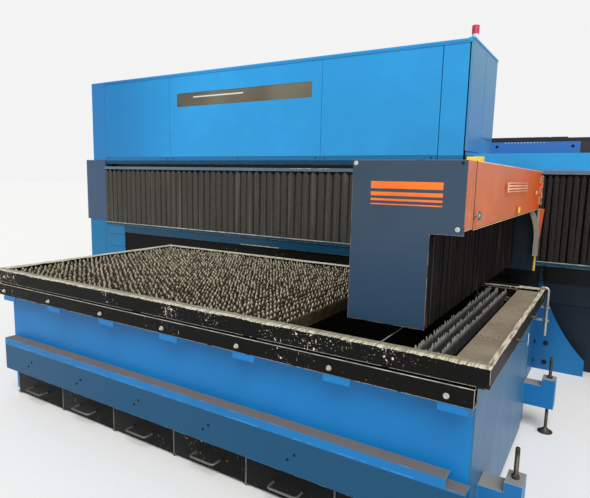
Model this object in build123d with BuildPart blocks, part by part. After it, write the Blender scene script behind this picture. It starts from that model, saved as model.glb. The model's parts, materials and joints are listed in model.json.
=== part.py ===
from build123d import *
import os

os.makedirs("parts", exist_ok=True)

# Flat-bed cutting machine: a low table with a spiked slat grid in front, a portal behind it, and an arm that
# runs along the portal and carries the cutting head over the table.
# Frame: +X along the portal, +Y away from the operator, +Z up, origin on the floor under the middle.
# Millimetres throughout.

# Sides of a small round piece
round_sides = 24
rod_sides = 12

# Table frame
frame_left = -1110.0
frame_length = 3299.0
frame_front = -1806.0
frame_width = 1726.0
frame_top = 928.0
frame_height = 82.0
frame_bar = 60.0
frame_rim = 20.0
rest_depth = 70.0
rest_thick = 16.0
cross_bar_length = 240.0
cross_bar_section = 30.0
cross_bar_inset = 136.0

# Spiked slats
slat_pitch = 50.0
slat_count = 46
slat_thick = 3.0
slat_drop = 11.0
tooth_count = 10
tooth_height = 24.0
tip_inset = 3.0
end_fit = 0.5
loose_slots = (58, 59, 60)

# Dust plate at the right end of the well
plate_width = 125.0
plate_front_gap = 16.0
plate_rear_gap = 50.0
plate_drop = 8.0
plate_skin = 4.0

# Base under the table
overhang_side = 60.0
panel_setback = 96.0
tub_rear_setback = 30.0
tub_wall = 8.0
tub_clear = 40.0
flange_thick = 12.0
flange_edge = 20.0
side_plate_thick = 6.0
side_plate_short = 150.0

# Rail under the frame's front, with its brackets and bolts
rail_depth = 60.0
rail_height = 79.0
rail_wall = 5.0
rail_inset = 50.0
bracket_count = 7
bracket_far_gap = 134.0
bracket_width = 130.0
bracket_sheet = 6.0
bracket_lip = 30.0
bracket_end_gap = 3.0
bolt_far_gap = 70.0
bolt_end_gap = 105.0
bolt_height = 30.0
bolt_radius = 14.0
bolt_head = 14.0

# Skirt and its dusty ledge
skirt_depth = 75.0
skirt_bottom = 211.0
skirt_top = 395.0
ledge_top = 434.0
ledge_end_gap = 78.0
sheet = 4.0

# Scrap drawers
drawer_count = 6
right_post = 74.0
left_post = 21.0
runner_web = 10.0
runner_flange = 40.0
runner_flange_thick = 6.0
drawer_bottom = 15.0
drawer_height = 185.0
drawer_depth = 1400.0
drawer_gap = 2.0
seat_gap = 0.3
drawer_wall = 4.0
handle_width = 165.0
handle_reach = 60.0
handle_rod = 12.0
handle_height = 84.0

# Levelling jacks
jack_front_setback = 316.0
jack_rear_inset = 60.0
jack_width_front = 120.0
jack_width_rear = 100.0
jack_reach = 173.0
jack_bottom = 177.0
jack_step = 102.0
jack_low_top = 318.0
jack_high_top = 365.0
stud_radius = 10.0
stud_from_side = 137.0
stud_top = 504.0
foot_radius = 45.0
foot_rim = 8.0
foot_height = 32.0
nut_width = 30.0
nut_height = 18.0
thread_gap = 0.1

# Side fittings
pin_radius = 7.0
pin_length = 32.0
pin_y = (-1240.0, -752.0)
pin_drop = 38.0
hook_rod = 20.0
hook_out = 20.0
hook_rear_inset = 42.0
hook_low = 632.0
hook_bend = 22.0
bend_flat = 0.29
collar_radius = 18.0
collar_height = 16.0
collar_levels = (732.0, 816.0)

# Portal
portal_front = 760.0
beam_left = -3088.0
beam_right = 3400.0
beam_face = 880.0
beam_rear = 1500.0
beam_bottom = 987.0
beam_top = 1764.0
beam_lip = 33.0
beam_wall = 16.0
guide_size = 35.0
guide_depth = 25.0
guide_levels = (1107.0, 1557.0)
guide_end_gap = 40.0
rack_height = 24.0
rack_depth = 18.0
rack_level = 1490.0
lower_beam_bottom = 866.0
lower_beam_depth = 140.0
bellows_rail_top = 1693.0
bellows_rail_lip = 29.0
bellows_rail_sheet = 8.0
bellows_rail_front = 748.0
bottom_rail_sheet = 12.0
bottom_lip = 32.0
skirt_plate_floor = 30.0
skirt_plate_setback = 15.0
skirt_plate_thick = 8.0

# Floor ties between the table base and the portal
tie_bottom = 60.0
tie_height = 100.0
tie_width = 100.0
tie_wall = 6.0
tie_x = (-700.0, 1500.0)

# Legs, end covers and the cabinet at the right
leg_left = -3420.0
leg_foot_end = -2755.0
leg_front_gap = 4.0
leg_rear = 1500.0
leg_band_bottom = 1006.0
band_left = -3460.0
band_top = 1778.0
band_sheet = 6.0
band_rear = 1560.0
right_leg_left = 1850.0
right_leg_front = 1110.0
right_leg_plate = 16.0
right_leg_neck = 2033.0
right_leg_knee_x = 2130.0
right_leg_knee_z = 555.0
right_leg_toe = 2419.0
right_leg_toe_z = 130.0
right_leg_neck_z = 900.0
cabinet_left = 2060.0
cabinet_right = 3460.0
cabinet_front = 1260.0
cabinet_rear = 1780.0
cabinet_top = 916.0
cabinet_strip = 180.0
cabinet_strip_out = 12.0
cabinet_groove = 565.0
cabinet_groove_width = 6.0
cabinet_pad_width = 300.0
cabinet_pad_gap = 160.0

# Upper housing
housing_left = -3070.0
housing_right = 1440.0
housing_rear = 1730.0
housing_floor = 7.0
panel_bottom = 1771.0
panel_top = 2712.0
roof_top = 2742.0
roof_overhang = 6.0
roof_step = 7.0
roof_cap_length = 30.0
housing_wall = 5.0
panel_depth = 15.0
panel_sheet = 3.0
panel_widths = (1134.0, 1998.0, 1134.0)
panel_gap = 4.0
corner_gap = 5.0
corner_right = 1410.0
side_panel_bottom = 1850.0
side_panel_depth = 10.0
side_post = 19.0
window_left = -1817.0
window_right = -48.0
window_bottom = 2371.0
window_top = 2520.0
window_radius = 12.0
pane_thick = 6.0
pane_lap = 20.0
end_cover_left = -3314.0

# Laser source inside the housing
tube_radius = 110.0
tube_length = 2600.0
tube_centre_x = -900.0
tube_centre_y = 1260.0
tube_centre_z = 2230.0
tube_spacing = 300.0
flange_radius = 140.0
flange_width = 40.0
cradle_width = 60.0
cradle_offset = 900.0

# Beacon
beacon_x = 1408.0
beacon_y = 910.0
beacon_radius = 30.0
beacon_base_height = 55.0
beacon_neck = 2.0
lens_height = 62.0
cap_height = 9.0
cap_taper = 3.0

# Cover on the beam's right end, cable trough and chain
end_cover_top = 1824.0
trough_left = -900.0
trough_right = 2203.0
trough_width = 90.0
trough_top = 1976.0
trough_height = 62.0
trough_sheet = 3.0
trough_apron = 1850.0
cable_box_right = 2330.0
cable_box_bottom = 1870.0
link_pitch = 150.0
link_gap = 8.0
link_margin = 8.0
link_top = 2020.0

# Arm
arm_left = 1534.0
arm_right = 2021.0
arm_front = -1636.0
arm_rear = 710.0
arm_top = 1681.0
arm_bottom = 1401.0
arm_sheet = 4.0
front_plate_thick = 6.0
front_plate_low = 977.0
front_plate_step = 1383.0
front_plate_notch = 1886.0
arm_beam_left = 1590.0
arm_beam_width = 250.0
arm_beam_bottom = 1420.0
arm_beam_wall = 12.0
rib_thick = 12.0
rib_gap = 6.0
carriage_right = 2030.0
carriage_face = 790.0
carriage_thick = 25.0
carriage_bottom = 1000.0
carriage_top = 1655.0
carriage_flange = 45.0
runner_length = 150.0
runner_spread = 250.0
runner_height = 66.0
runner_gap = 0.4
root_cover_front = 530.0
root_cover_bottom = 940.0
door_front_gap = 74.0
door_pan = 20.0
door_clear = 2.0
hinge_pin_radius = 5.0
hinge_out = 8.0
hinge_knuckle = 50.0
hinge_levels = (1462.0, 1541.0, 1620.0)
hinge_gap = 0.3
hinge_fit = 0.05
hinge_leaf = 48.0
door_lift = 1.0
latch_radius = 13.0
latch_proud = 7.0
latch_from_edge = 82.0
latch_level = 1460.0
latch_shaft = 6.0
latch_fit = 0.1
latch_slot = 3.0
cam_length = 98.0
cam_width = 14.0
cam_thick = 3.0
cam_gap = 1.0
hose_radius = 9.0
guard_width = 60.0
guard_band = 30.0
guard_start = 1975.0
guard_knee = 1180.0
guard_low = 1060.0
guard_sag = 12.0
stay_y = 660.0
stay_width = 36.0

# Head
y_guide_width = 20.0
y_guide_height = 20.0
y_guide_inset = 40.0
y_carriage_front = -1576.0
y_carriage_length = 226.0
y_carriage_thick = 25.0
y_plate_gap = 15.0
y_frame_thick = 20.0
tunnel_side = 6.0
tunnel_low = 985.0
head_radius = 48.0
head_top_gap = 60.0
head_bottom = 1120.0
slide_block = 12.0
slideway_bottom = 1060.0
nozzle_root = 1050.0
nozzle_collar = 12.0
nozzle_tip = 990.0
nozzle_tip_radius = 4.0
head_taper = 18.0
nozzle_taper = 22.0
slideway_width = 90.0
slideway_thick = 20.0

# Bellows
fold_skin = 4.0
x_fold_depth = 38.0
left_fold_count = 54
right_fold_count = 30
y_fold_depth = 35.0
rear_fold_count = 46
front_fold_count = 7
bellows_gap = 0.3


def level(z):
    """Horizontal plane at height z."""
    return Plane.XY.offset(z)


def front_view(y):
    """Upright plane facing the operator at depth y. A negative extrusion goes away from the operator."""
    return Plane.XZ.offset(-y)


def side_view(x):
    """Upright plane facing +X, with Y to its right and Z up."""
    return Plane.YZ.offset(x)


def patch(u0, u1, v0, v1, mode=Mode.ADD):
    """Rectangle between two corners, in the sketch being drawn."""
    with Locations(((u0 + u1) / 2, (v0 + v1) / 2)):
        Rectangle(u1 - u0, v1 - v0, mode=mode)


def save(builder, name):
    """Label a finished piece and write it to its own file."""
    builder.part.label = name
    export_step(builder.part, f"parts/{name}.step")


def folds(start, end, count, near, far):
    """Corners of a folded skin that runs from start to end, between near and far, as one closed outline."""
    step = (end - start) / count
    ridge = [(start + step * i, near) for i in range(count + 1)]
    valley = [(start + step * (i + 0.5), far - fold_skin) for i in range(count)]
    outer = [point for pair in zip(ridge, valley) for point in pair] + [ridge[-1]]
    inner = [(u, v + fold_skin) for u, v in reversed(outer)]
    return outer + inner


frame_right = frame_left + frame_length
frame_rear = frame_front + frame_width
frame_bottom = frame_top - frame_height
well_left = frame_left + frame_bar
well_right = frame_right - frame_rim
well_front = frame_front + frame_bar
well_rear = frame_rear - frame_bar
rest_top = frame_bottom + rest_thick
tub_left = frame_left + overhang_side
tub_right = frame_right - overhang_side - side_plate_thick
side_right = tub_right + side_plate_thick
side_left = tub_left - side_plate_thick
tub_front = frame_front + panel_setback
tub_rear = frame_rear - tub_rear_setback
flange_bottom = frame_bottom - flange_thick
rail_bottom = flange_bottom - rail_height
post_left = side_right - right_post - side_plate_thick
bays_left = side_left + left_post
bay_pitch = (post_left - bays_left) / drawer_count
skirt_front = tub_front - skirt_depth

# Table frame: black welded frame, with rests for the slats front and rear and a stop bar at the right
plate_left = well_right - plate_width
bar_right = well_right - cross_bar_inset
bar_front = well_rear - cross_bar_section * 1.5
with BuildPart() as table_frame:
    with BuildSketch(level(frame_bottom)):
        patch(frame_left, frame_right, frame_front, frame_rear)
        patch(well_left, well_right, well_front, well_rear, mode=Mode.SUBTRACT)
    extrude(amount=frame_height)
    with BuildSketch(level(frame_bottom)):
        patch(well_left, well_right, well_front, well_front + rest_depth)
        patch(well_left, well_right, well_rear - rest_depth, well_rear)
    extrude(amount=rest_thick)
    with BuildSketch(level(rest_top)):
        patch(bar_right - cross_bar_length, bar_right, bar_front, bar_front + cross_bar_section)
    extrude(amount=frame_top - plate_drop - rest_top)
save(table_frame, "table_frame")

# Spiked slats: cut from sheet, standing on the rests, with the middle hanging between them
tip_level = frame_top - tip_inset
root_level = tip_level - tooth_height


def slat_outline(y0, y1):
    """Corners of one slat from its front end to its rear end."""
    pitch = (y1 - y0) / tooth_count
    spikes = []
    for i in range(tooth_count):
        spikes += [(y0 + pitch * i, root_level), (y0 + pitch * (i + 0.5), tip_level)]
    low_front = well_front + rest_depth + end_fit
    low_rear = well_rear - rest_depth - end_fit
    low = rest_top - rest_thick - slat_drop
    below = [(y1, root_level), (y1, rest_top), (low_rear, rest_top), (low_rear, low), (low_front, low)]
    return spikes + below + [(low_front, rest_top), (y0, rest_top)]


dense_x = [well_left + slat_pitch * (i + 0.5) for i in range(slat_count)]
loose_x = [well_left + slat_pitch * (slot + 0.5) for slot in loose_slots]
with BuildPart() as spiked_slats:
    for x in dense_x:
        with BuildSketch(side_view(x - slat_thick / 2)):
            Polygon(*slat_outline(well_front + end_fit, well_rear - end_fit), align=None)
    for x in loose_x:
        with BuildSketch(side_view(x - slat_thick / 2)):
            Polygon(*slat_outline(well_front + end_fit, bar_front), align=None)
    extrude(amount=slat_thick)
save(spiked_slats, "spiked_slats")

# Dust plate: folded channel that covers the right end of the well
plate_top = frame_top - plate_drop
with BuildPart() as dust_plate:
    with BuildSketch(front_view(well_front + plate_front_gap)):
        patch(plate_left, well_right, rest_top, plate_top)
        patch(
            plate_left + plate_skin,
            well_right - plate_skin,
            rest_top,
            plate_top - plate_skin,
            mode=Mode.SUBTRACT,
        )
    extrude(amount=-(well_rear - plate_rear_gap - well_front - plate_front_gap))
save(dust_plate, "dust_plate")

# Base tub: four walls, a top flange under the frame, thicker side plates and the drawer mouth at the front
tub_hollow = (tub_left + tub_wall, tub_right - tub_wall, tub_front + tub_wall, tub_rear - tub_wall)
with BuildPart() as base_tub:
    with BuildSketch(level(tub_clear)):
        patch(tub_left, tub_right, tub_front, tub_rear)
        patch(*tub_hollow, mode=Mode.SUBTRACT)
        patch(side_left, tub_left, tub_front, tub_rear - side_plate_short)
        patch(tub_right, side_right, tub_front, tub_rear - side_plate_short)
    extrude(amount=flange_bottom - tub_clear)
    with BuildSketch(level(flange_bottom)):
        patch(
            frame_left + flange_edge,
            frame_right - flange_edge,
            frame_front + flange_edge,
            frame_rear - flange_edge,
        )
        patch(*tub_hollow, mode=Mode.SUBTRACT)
    extrude(amount=flange_thick)
    with BuildSketch(front_view(tub_front)):
        patch(bays_left, post_left, tub_clear, skirt_bottom)
    extrude(amount=-tub_wall, mode=Mode.SUBTRACT)
save(base_tub, "base_tub")

# Rail: rectangular tube under the flange, along the front
with BuildPart() as support_rail:
    with BuildSketch(side_view(frame_left + rail_inset)):
        patch(frame_front, frame_front + rail_depth, rail_bottom, flange_bottom)
        patch(
            frame_front + rail_wall,
            frame_front + rail_depth - rail_wall,
            rail_bottom + rail_wall,
            flange_bottom - rail_wall,
            mode=Mode.SUBTRACT,
        )
    extrude(amount=frame_length - 2 * rail_inset)
save(support_rail, "support_rail")

# Angle brackets that carry the rail from the front panel
rail_length = frame_length - 2 * rail_inset
first_bracket = frame_right - rail_inset - bracket_end_gap - bracket_width / 2
bracket_span = rail_length - bracket_end_gap - bracket_width / 2 - bracket_far_gap
bracket_pitch = bracket_span / (bracket_count - 1)
with BuildPart() as rail_brackets:
    for i in range(bracket_count):
        with BuildSketch(side_view(first_bracket - bracket_pitch * i - bracket_width / 2)):
            patch(frame_front - bracket_sheet, tub_front, rail_bottom - bracket_sheet, rail_bottom)
            patch(frame_front - bracket_sheet, frame_front, rail_bottom - bracket_lip, rail_bottom)
    extrude(amount=bracket_width)
save(rail_brackets, "rail_brackets")

# Hexagon bolt heads on the rail
bolt_pitch = (rail_length - bolt_end_gap - bolt_far_gap) / (bracket_count - 1)
first_bolt = frame_right - rail_inset - bolt_end_gap
with BuildPart() as rail_bolts:
    with BuildSketch(front_view(frame_front)):
        for i in range(bracket_count):
            with Locations((first_bolt - bolt_pitch * i, rail_bottom + bolt_height)):
                RegularPolygon(bolt_radius, 6)
    extrude(amount=bolt_head)
save(rail_bolts, "rail_bolts")

# Skirt in front of the drawers' tops, and the ledge strip on it
with BuildPart() as front_skirt:
    with BuildSketch(side_view(side_left)):
        patch(skirt_front, skirt_front + sheet, skirt_bottom, skirt_top)
        patch(skirt_front, tub_front, skirt_top - sheet, skirt_top)
        patch(skirt_front, skirt_front + sheet * 4, skirt_bottom, skirt_bottom + sheet)
    extrude(amount=side_right - side_left)
    with BuildSketch(side_view(side_right - sheet)):
        patch(skirt_front, tub_front, skirt_bottom, skirt_top)
    extrude(amount=sheet)
    with BuildSketch(side_view(side_left)):
        patch(skirt_front, tub_front, skirt_bottom, skirt_top)
    extrude(amount=sheet)
save(front_skirt, "front_skirt")

with BuildPart() as skirt_ledge:
    with BuildSketch(side_view(side_left)):
        patch(skirt_front, skirt_front + sheet, skirt_top, ledge_top)
        patch(skirt_front, tub_front, ledge_top - sheet, ledge_top)
    extrude(amount=side_right - ledge_end_gap - side_left)
save(skirt_ledge, "skirt_ledge")

# Drawer runners: inverted tee bars on the floor between the bays
drawer_seat = drawer_bottom - seat_gap
with BuildPart() as drawer_runners:
    with BuildSketch(front_view(tub_front)):
        for i in range(drawer_count + 1):
            bay_edge = post_left - bay_pitch * i
            web_left = max(bay_edge - runner_web / 2, bays_left)
            web_right = min(bay_edge + runner_web / 2, post_left)
            patch(web_left, web_right, 0, skirt_bottom)
            patch(
                bay_edge - runner_flange / 2,
                bay_edge + runner_flange / 2,
                drawer_seat - runner_flange_thick,
                drawer_seat,
            )
    extrude(amount=-(tub_rear - tub_wall - tub_front))
save(drawer_runners, "drawer_runners")

# Scrap drawers: open trays with a bent rod handle welded to the face
drawer_width = bay_pitch - runner_web - 2 * drawer_gap
handle_front = tub_front - handle_reach
handle_bend = handle_rod * 1.5
for i in range(drawer_count):
    middle = post_left - bay_pitch * (i + 0.5)
    with BuildPart() as drawer:
        with BuildSketch(level(drawer_bottom)):
            patch(middle - drawer_width / 2, middle + drawer_width / 2, tub_front, tub_front + drawer_depth)
        extrude(amount=drawer_height)
        with BuildSketch(level(drawer_bottom + drawer_wall)):
            patch(
                middle - drawer_width / 2 + drawer_wall,
                middle + drawer_width / 2 - drawer_wall,
                tub_front + drawer_wall,
                tub_front + drawer_depth - drawer_wall,
            )
        extrude(amount=drawer_height, mode=Mode.SUBTRACT)
        grip = handle_width / 2
        with BuildLine(level(handle_height)):
            Polyline(
                (middle - grip, tub_front),
                (middle - grip, handle_front + handle_bend),
                (middle - grip + handle_bend, handle_front),
                (middle + grip - handle_bend, handle_front),
                (middle + grip, handle_front + handle_bend),
                (middle + grip, tub_front),
            )
        rod_root = Plane(origin=(middle - grip, tub_front, handle_height), x_dir=(1, 0, 0), z_dir=(0, -1, 0))
        with BuildSketch(rod_root):
            RegularPolygon(handle_rod / 2, 6)
        sweep(transition=Transition.RIGHT)
    save(drawer, f"scrap_drawer_{i + 1}")

# Levelling jacks: welded brackets at the base's four corners, with screws, nuts and round feet
side_sign = (1, -1)
jack_rows = (
    (frame_front + jack_front_setback, jack_width_front),
    (frame_rear - jack_rear_inset, jack_width_rear),
)


def jack_root(sign, y):
    """X of the face that a jack bracket is welded to."""
    at_rear = y > tub_rear - side_plate_short
    inner = (tub_right, tub_left) if at_rear else (side_right, side_left)
    return inner[0] if sign > 0 else inner[1]


with BuildPart() as jack_brackets:
    for sign in side_sign:
        for y, width in jack_rows:
            root = jack_root(sign, y)
            stud_x = (side_right + stud_from_side) if sign > 0 else (side_left - stud_from_side)
            outer = (side_right + jack_reach) if sign > 0 else (side_left - jack_reach)
            step = root + sign * jack_step
            with BuildSketch(front_view(y - width / 2)):
                Polygon(
                    (root, jack_bottom),
                    (outer, jack_bottom),
                    (outer, jack_high_top),
                    (step, jack_high_top),
                    (step, jack_low_top),
                    (root, jack_low_top),
                    align=None,
                )
            extrude(amount=-width)
            with BuildSketch(level(jack_bottom)):
                with Locations((stud_x, y)):
                    RegularPolygon(stud_radius + thread_gap, rod_sides)
            extrude(amount=jack_high_top - jack_bottom, mode=Mode.SUBTRACT)
save(jack_brackets, "jack_brackets")

with BuildPart() as jack_screws:
    stud_columns = (side_right + stud_from_side, side_left - stud_from_side)
    studs = [(stud_x, y) for stud_x in stud_columns for y, _ in jack_rows]
    with BuildSketch(level(0)):
        with Locations(*studs):
            RegularPolygon(foot_radius, round_sides)
    extrude(amount=foot_rim)
    with BuildSketch(level(0)):
        with Locations(*studs):
            RegularPolygon(stud_radius * 2, rod_sides)
    extrude(amount=foot_height)
    with BuildSketch(level(0)):
        with Locations(*studs):
            RegularPolygon(stud_radius, rod_sides)
    extrude(amount=stud_top)
    with BuildSketch(level(jack_high_top)):
        with Locations(*studs):
            RegularPolygon(nut_width / 2, 6)
            RegularPolygon(stud_radius + thread_gap, rod_sides, mode=Mode.SUBTRACT)
    extrude(amount=nut_height)
save(jack_screws, "jack_screws")

# Locating pins on the frame's right side
with BuildPart() as locating_pins:
    with BuildSketch(side_view(frame_right)):
        with Locations(*[(y, frame_top - pin_drop) for y in pin_y]):
            RegularPolygon(pin_radius, rod_sides)
    extrude(amount=pin_length)
save(locating_pins, "locating_pins")

# Hook that clamps the frame at the rear right corner: bent rod in two collars on an angle plate
with BuildPart() as clamp_hook:
    hook_x = frame_right + hook_out
    hook_y = frame_rear - hook_rear_inset
    hook_tip = frame_right - frame_rim
    hook_top = frame_top + hook_rod / 2 + seat_gap
    with BuildLine(Plane(origin=(0, hook_y, 0), x_dir=(1, 0, 0), z_dir=(0, -1, 0))):
        Polyline(
            (hook_x, hook_low),
            (hook_x, hook_top - hook_bend),
            (hook_x - hook_bend * bend_flat, hook_top - hook_bend * bend_flat),
            (hook_x - hook_bend, hook_top),
            (hook_tip, hook_top),
        )
    with BuildSketch(Plane(origin=(hook_x, hook_y, hook_low), x_dir=(1, 0, 0), z_dir=(0, 0, 1))):
        RegularPolygon(hook_rod / 2, 8)
    sweep(transition=Transition.RIGHT)
    for z in collar_levels:
        with BuildSketch(level(z - collar_height / 2)):
            with Locations((hook_x, hook_y)):
                RegularPolygon(collar_radius, rod_sides)
            patch(tub_right, hook_x, hook_y - sheet, hook_y + sheet)
        extrude(amount=collar_height)
save(clamp_hook, "clamp_hook")

# Portal beam: welded box with a lip along its top front edge, open inside
with BuildPart() as portal_beam:
    with BuildSketch(side_view(beam_left)):
        patch(beam_face, beam_rear, beam_bottom, beam_top)
        patch(portal_front, beam_face, beam_top - beam_lip, beam_top)
        patch(
            beam_face + beam_wall,
            beam_rear - beam_wall,
            beam_bottom + beam_wall,
            beam_top - beam_wall,
            mode=Mode.SUBTRACT,
        )
    extrude(amount=beam_right - beam_left)
save(portal_beam, "portal_beam")

# Guide rails and toothed rack on the beam's face, behind the bellows
with BuildPart() as guide_rails:
    with BuildSketch(side_view(beam_left + guide_end_gap)):
        for z in guide_levels:
            patch(beam_face - guide_depth, beam_face, z - guide_size / 2, z + guide_size / 2)
        patch(beam_face - rack_depth, beam_face, rack_level - rack_height / 2, rack_level + rack_height / 2)
    extrude(amount=beam_right - beam_left - 2 * guide_end_gap)
save(guide_rails, "guide_rails")

# Folded rails that the bellows hang between
with BuildPart() as bellows_rails:
    with BuildSketch(side_view(beam_left)):
        patch(bellows_rail_front, beam_face, bellows_rail_top - bellows_rail_sheet, bellows_rail_top)
        patch(
            bellows_rail_front,
            bellows_rail_front + bellows_rail_sheet,
            bellows_rail_top - bellows_rail_lip,
            bellows_rail_top,
        )
    extrude(amount=beam_right - beam_left)
    with BuildSketch(side_view(beam_left)):
        patch(bellows_rail_front, beam_face + beam_wall, beam_bottom - bottom_rail_sheet, beam_bottom)
        patch(
            bellows_rail_front,
            bellows_rail_front + bellows_rail_sheet,
            beam_bottom - bottom_lip,
            beam_bottom,
        )
    extrude(amount=beam_right - beam_left)
    with BuildSketch(side_view(beam_right - bellows_rail_sheet)):
        patch(bellows_rail_front, beam_face, beam_bottom, bellows_rail_top)
    extrude(amount=bellows_rail_sheet)
save(bellows_rails, "bellows_rails")

# Lower beam and the black plates that close the space under it
lower_beam_top = beam_bottom - bottom_rail_sheet
with BuildPart() as lower_beam:
    with BuildSketch(side_view(leg_foot_end)):
        patch(portal_front, portal_front + lower_beam_depth, lower_beam_bottom, lower_beam_top)
    extrude(amount=right_leg_left - leg_foot_end)
save(lower_beam, "lower_beam")

skirt_plate_front = portal_front + skirt_plate_setback
with BuildPart() as kick_plates:
    with BuildSketch(front_view(skirt_plate_front)):
        patch(leg_foot_end, right_leg_left, skirt_plate_floor, lower_beam_bottom)
    extrude(amount=-skirt_plate_thick)
    with BuildSketch(side_view(leg_foot_end)):
        patch(
            skirt_plate_front,
            skirt_plate_front + skirt_plate_floor,
            skirt_plate_floor,
            skirt_plate_floor + skirt_plate_thick,
        )
    extrude(amount=right_leg_left - leg_foot_end)
save(kick_plates, "kick_plates")

# Floor ties between the table base and the portal
with BuildPart() as floor_ties:
    for x in tie_x:
        with BuildSketch(front_view(tub_rear)):
            patch(x - tie_width / 2, x + tie_width / 2, tie_bottom, tie_bottom + tie_height)
            patch(
                x - tie_width / 2 + tie_wall,
                x + tie_width / 2 - tie_wall,
                tie_bottom + tie_wall,
                tie_bottom + tie_height - tie_wall,
                mode=Mode.SUBTRACT,
            )
        extrude(amount=-(skirt_plate_front - tub_rear))
save(floor_ties, "floor_ties")

# Left leg: tall post with a foot that reaches to the right, as one welding
with BuildPart() as left_leg:
    with BuildSketch(front_view(portal_front + leg_front_gap)):
        Polygon(
            (leg_left, 0),
            (leg_foot_end, 0),
            (leg_foot_end, lower_beam_top),
            (beam_left, lower_beam_top),
            (beam_left, band_top),
            (leg_left, band_top),
            align=None,
        )
    extrude(amount=-(leg_rear - portal_front - leg_front_gap))
save(left_leg, "left_leg")

# Dark band cover round the left leg's upper half
with BuildPart() as band_cover:
    with BuildSketch(level(leg_band_bottom)):
        patch(band_left, beam_left, portal_front - leg_front_gap, portal_front + leg_front_gap)
        patch(band_left, leg_left, portal_front - leg_front_gap, band_rear)
    extrude(amount=band_top - leg_band_bottom)
save(band_cover, "band_cover")

# Light cover above the band, closing the housing's left end
with BuildPart() as left_end_cover:
    with BuildSketch(level(band_top)):
        patch(end_cover_left, housing_left, portal_front, housing_rear)
        patch(
            end_cover_left + band_sheet,
            housing_left,
            portal_front + band_sheet,
            housing_rear - band_sheet,
            mode=Mode.SUBTRACT,
        )
    extrude(amount=roof_top - band_top)
    with BuildSketch(level(roof_top - band_sheet)):
        patch(end_cover_left, housing_left, portal_front, housing_rear)
    extrude(amount=band_sheet)
save(left_end_cover, "left_end_cover")

# Right leg: box post with a thin gusset plate that flares towards the floor
with BuildPart() as right_leg:
    with BuildSketch(front_view(right_leg_front)):
        with BuildLine():
            Polyline(
                (right_leg_toe, right_leg_toe_z),
                (right_leg_toe, 0),
                (right_leg_left, 0),
                (right_leg_left, lower_beam_top),
                (right_leg_neck, lower_beam_top),
                (right_leg_neck, right_leg_neck_z),
            )
            ThreePointArc(
                (right_leg_neck, right_leg_neck_z),
                (right_leg_knee_x, right_leg_knee_z),
                (right_leg_toe, right_leg_toe_z),
            )
        make_face()
    extrude(amount=-right_leg_plate)
    with BuildSketch(level(0)):
        patch(right_leg_left, right_leg_neck, portal_front, beam_rear)
    extrude(amount=lower_beam_top)
    with BuildSketch(level(lower_beam_top)):
        patch(right_leg_left, right_leg_neck, beam_face + beam_wall, beam_rear)
    extrude(amount=beam_bottom - lower_beam_top)
save(right_leg, "right_leg")

# Cabinet at the right end: tall plinth with an overhanging top band and a saddle under the beam
with BuildPart() as right_cabinet:
    with BuildSketch(side_view(cabinet_left)):
        patch(cabinet_front, cabinet_rear, 0, cabinet_top)
        patch(cabinet_front - cabinet_strip_out, cabinet_front, cabinet_top - cabinet_strip, cabinet_top)
        patch(
            cabinet_front,
            cabinet_front + cabinet_groove_width,
            cabinet_groove - cabinet_groove_width,
            cabinet_groove,
            mode=Mode.SUBTRACT,
        )
    extrude(amount=cabinet_right - cabinet_left)
    with BuildSketch(level(cabinet_top)):
        patch(
            beam_right - cabinet_pad_gap - cabinet_pad_width,
            beam_right - cabinet_pad_gap,
            cabinet_front,
            beam_rear,
        )
    extrude(amount=beam_bottom - cabinet_top)
save(right_cabinet, "right_cabinet")

# Housing shell: floor, walls and roof, open at the front behind the panels
shell_front = portal_front + panel_depth
shell_right = housing_right - side_panel_depth
with BuildPart() as housing_shell:
    with BuildSketch(side_view(housing_left)):
        patch(shell_front, housing_rear, beam_top, roof_top)
        patch(
            shell_front,
            housing_rear - housing_wall,
            beam_top + housing_floor,
            panel_top,
            mode=Mode.SUBTRACT,
        )
        patch(portal_front - roof_overhang, shell_front, panel_top, roof_top)
    extrude(amount=shell_right - housing_left)
    with BuildSketch(side_view(housing_left)):
        patch(shell_front, housing_rear, beam_top, panel_top)
    extrude(amount=housing_wall)
    with BuildSketch(side_view(shell_right - housing_wall)):
        patch(shell_front, housing_rear, beam_top, panel_top)
    extrude(amount=housing_wall)
    with BuildSketch(side_view(shell_right)):
        patch(portal_front - roof_overhang, housing_rear, roof_top - roof_step, roof_top + roof_step)
    extrude(amount=side_panel_depth + roof_overhang)
    with BuildSketch(side_view(shell_right - roof_cap_length)):
        patch(portal_front - roof_overhang, housing_rear, roof_top, roof_top + roof_step)
    extrude(amount=roof_cap_length)
save(housing_shell, "housing_shell")

# Front panels: shallow pans, the middle one with the window
panel_names = ("front_panel_left", "front_panel_middle", "front_panel_right")
panel_edges = [housing_left + sum(panel_widths[:i]) for i in range(len(panel_widths) + 1)]
for i, name in enumerate(panel_names):
    left, right = panel_edges[i] + panel_gap / 2, panel_edges[i + 1] - panel_gap / 2
    with BuildPart() as panel:
        with BuildSketch(front_view(portal_front)):
            patch(left, right, panel_bottom, panel_top)
        extrude(amount=-panel_depth)
        with BuildSketch(front_view(portal_front + panel_sheet)):
            patch(
                left + panel_sheet,
                right - panel_sheet,
                panel_bottom + panel_sheet,
                panel_top - panel_sheet,
            )
        extrude(amount=-panel_depth, mode=Mode.SUBTRACT)
        if left < window_left and window_right < right:
            with BuildSketch(front_view(portal_front)):
                with Locations(((window_left + window_right) / 2, (window_bottom + window_top) / 2)):
                    RectangleRounded(window_right - window_left, window_top - window_bottom, window_radius)
            extrude(amount=-panel_depth, mode=Mode.SUBTRACT)
    save(panel, name)

# Smoked window pane, held behind the middle panel's sheet
with BuildPart() as window_pane:
    with BuildSketch(front_view(portal_front + panel_sheet)):
        patch(
            window_left - pane_lap,
            window_right + pane_lap,
            window_bottom - pane_lap,
            window_top + pane_lap,
        )
    extrude(amount=-pane_thick)
save(window_pane, "window_pane")

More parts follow.
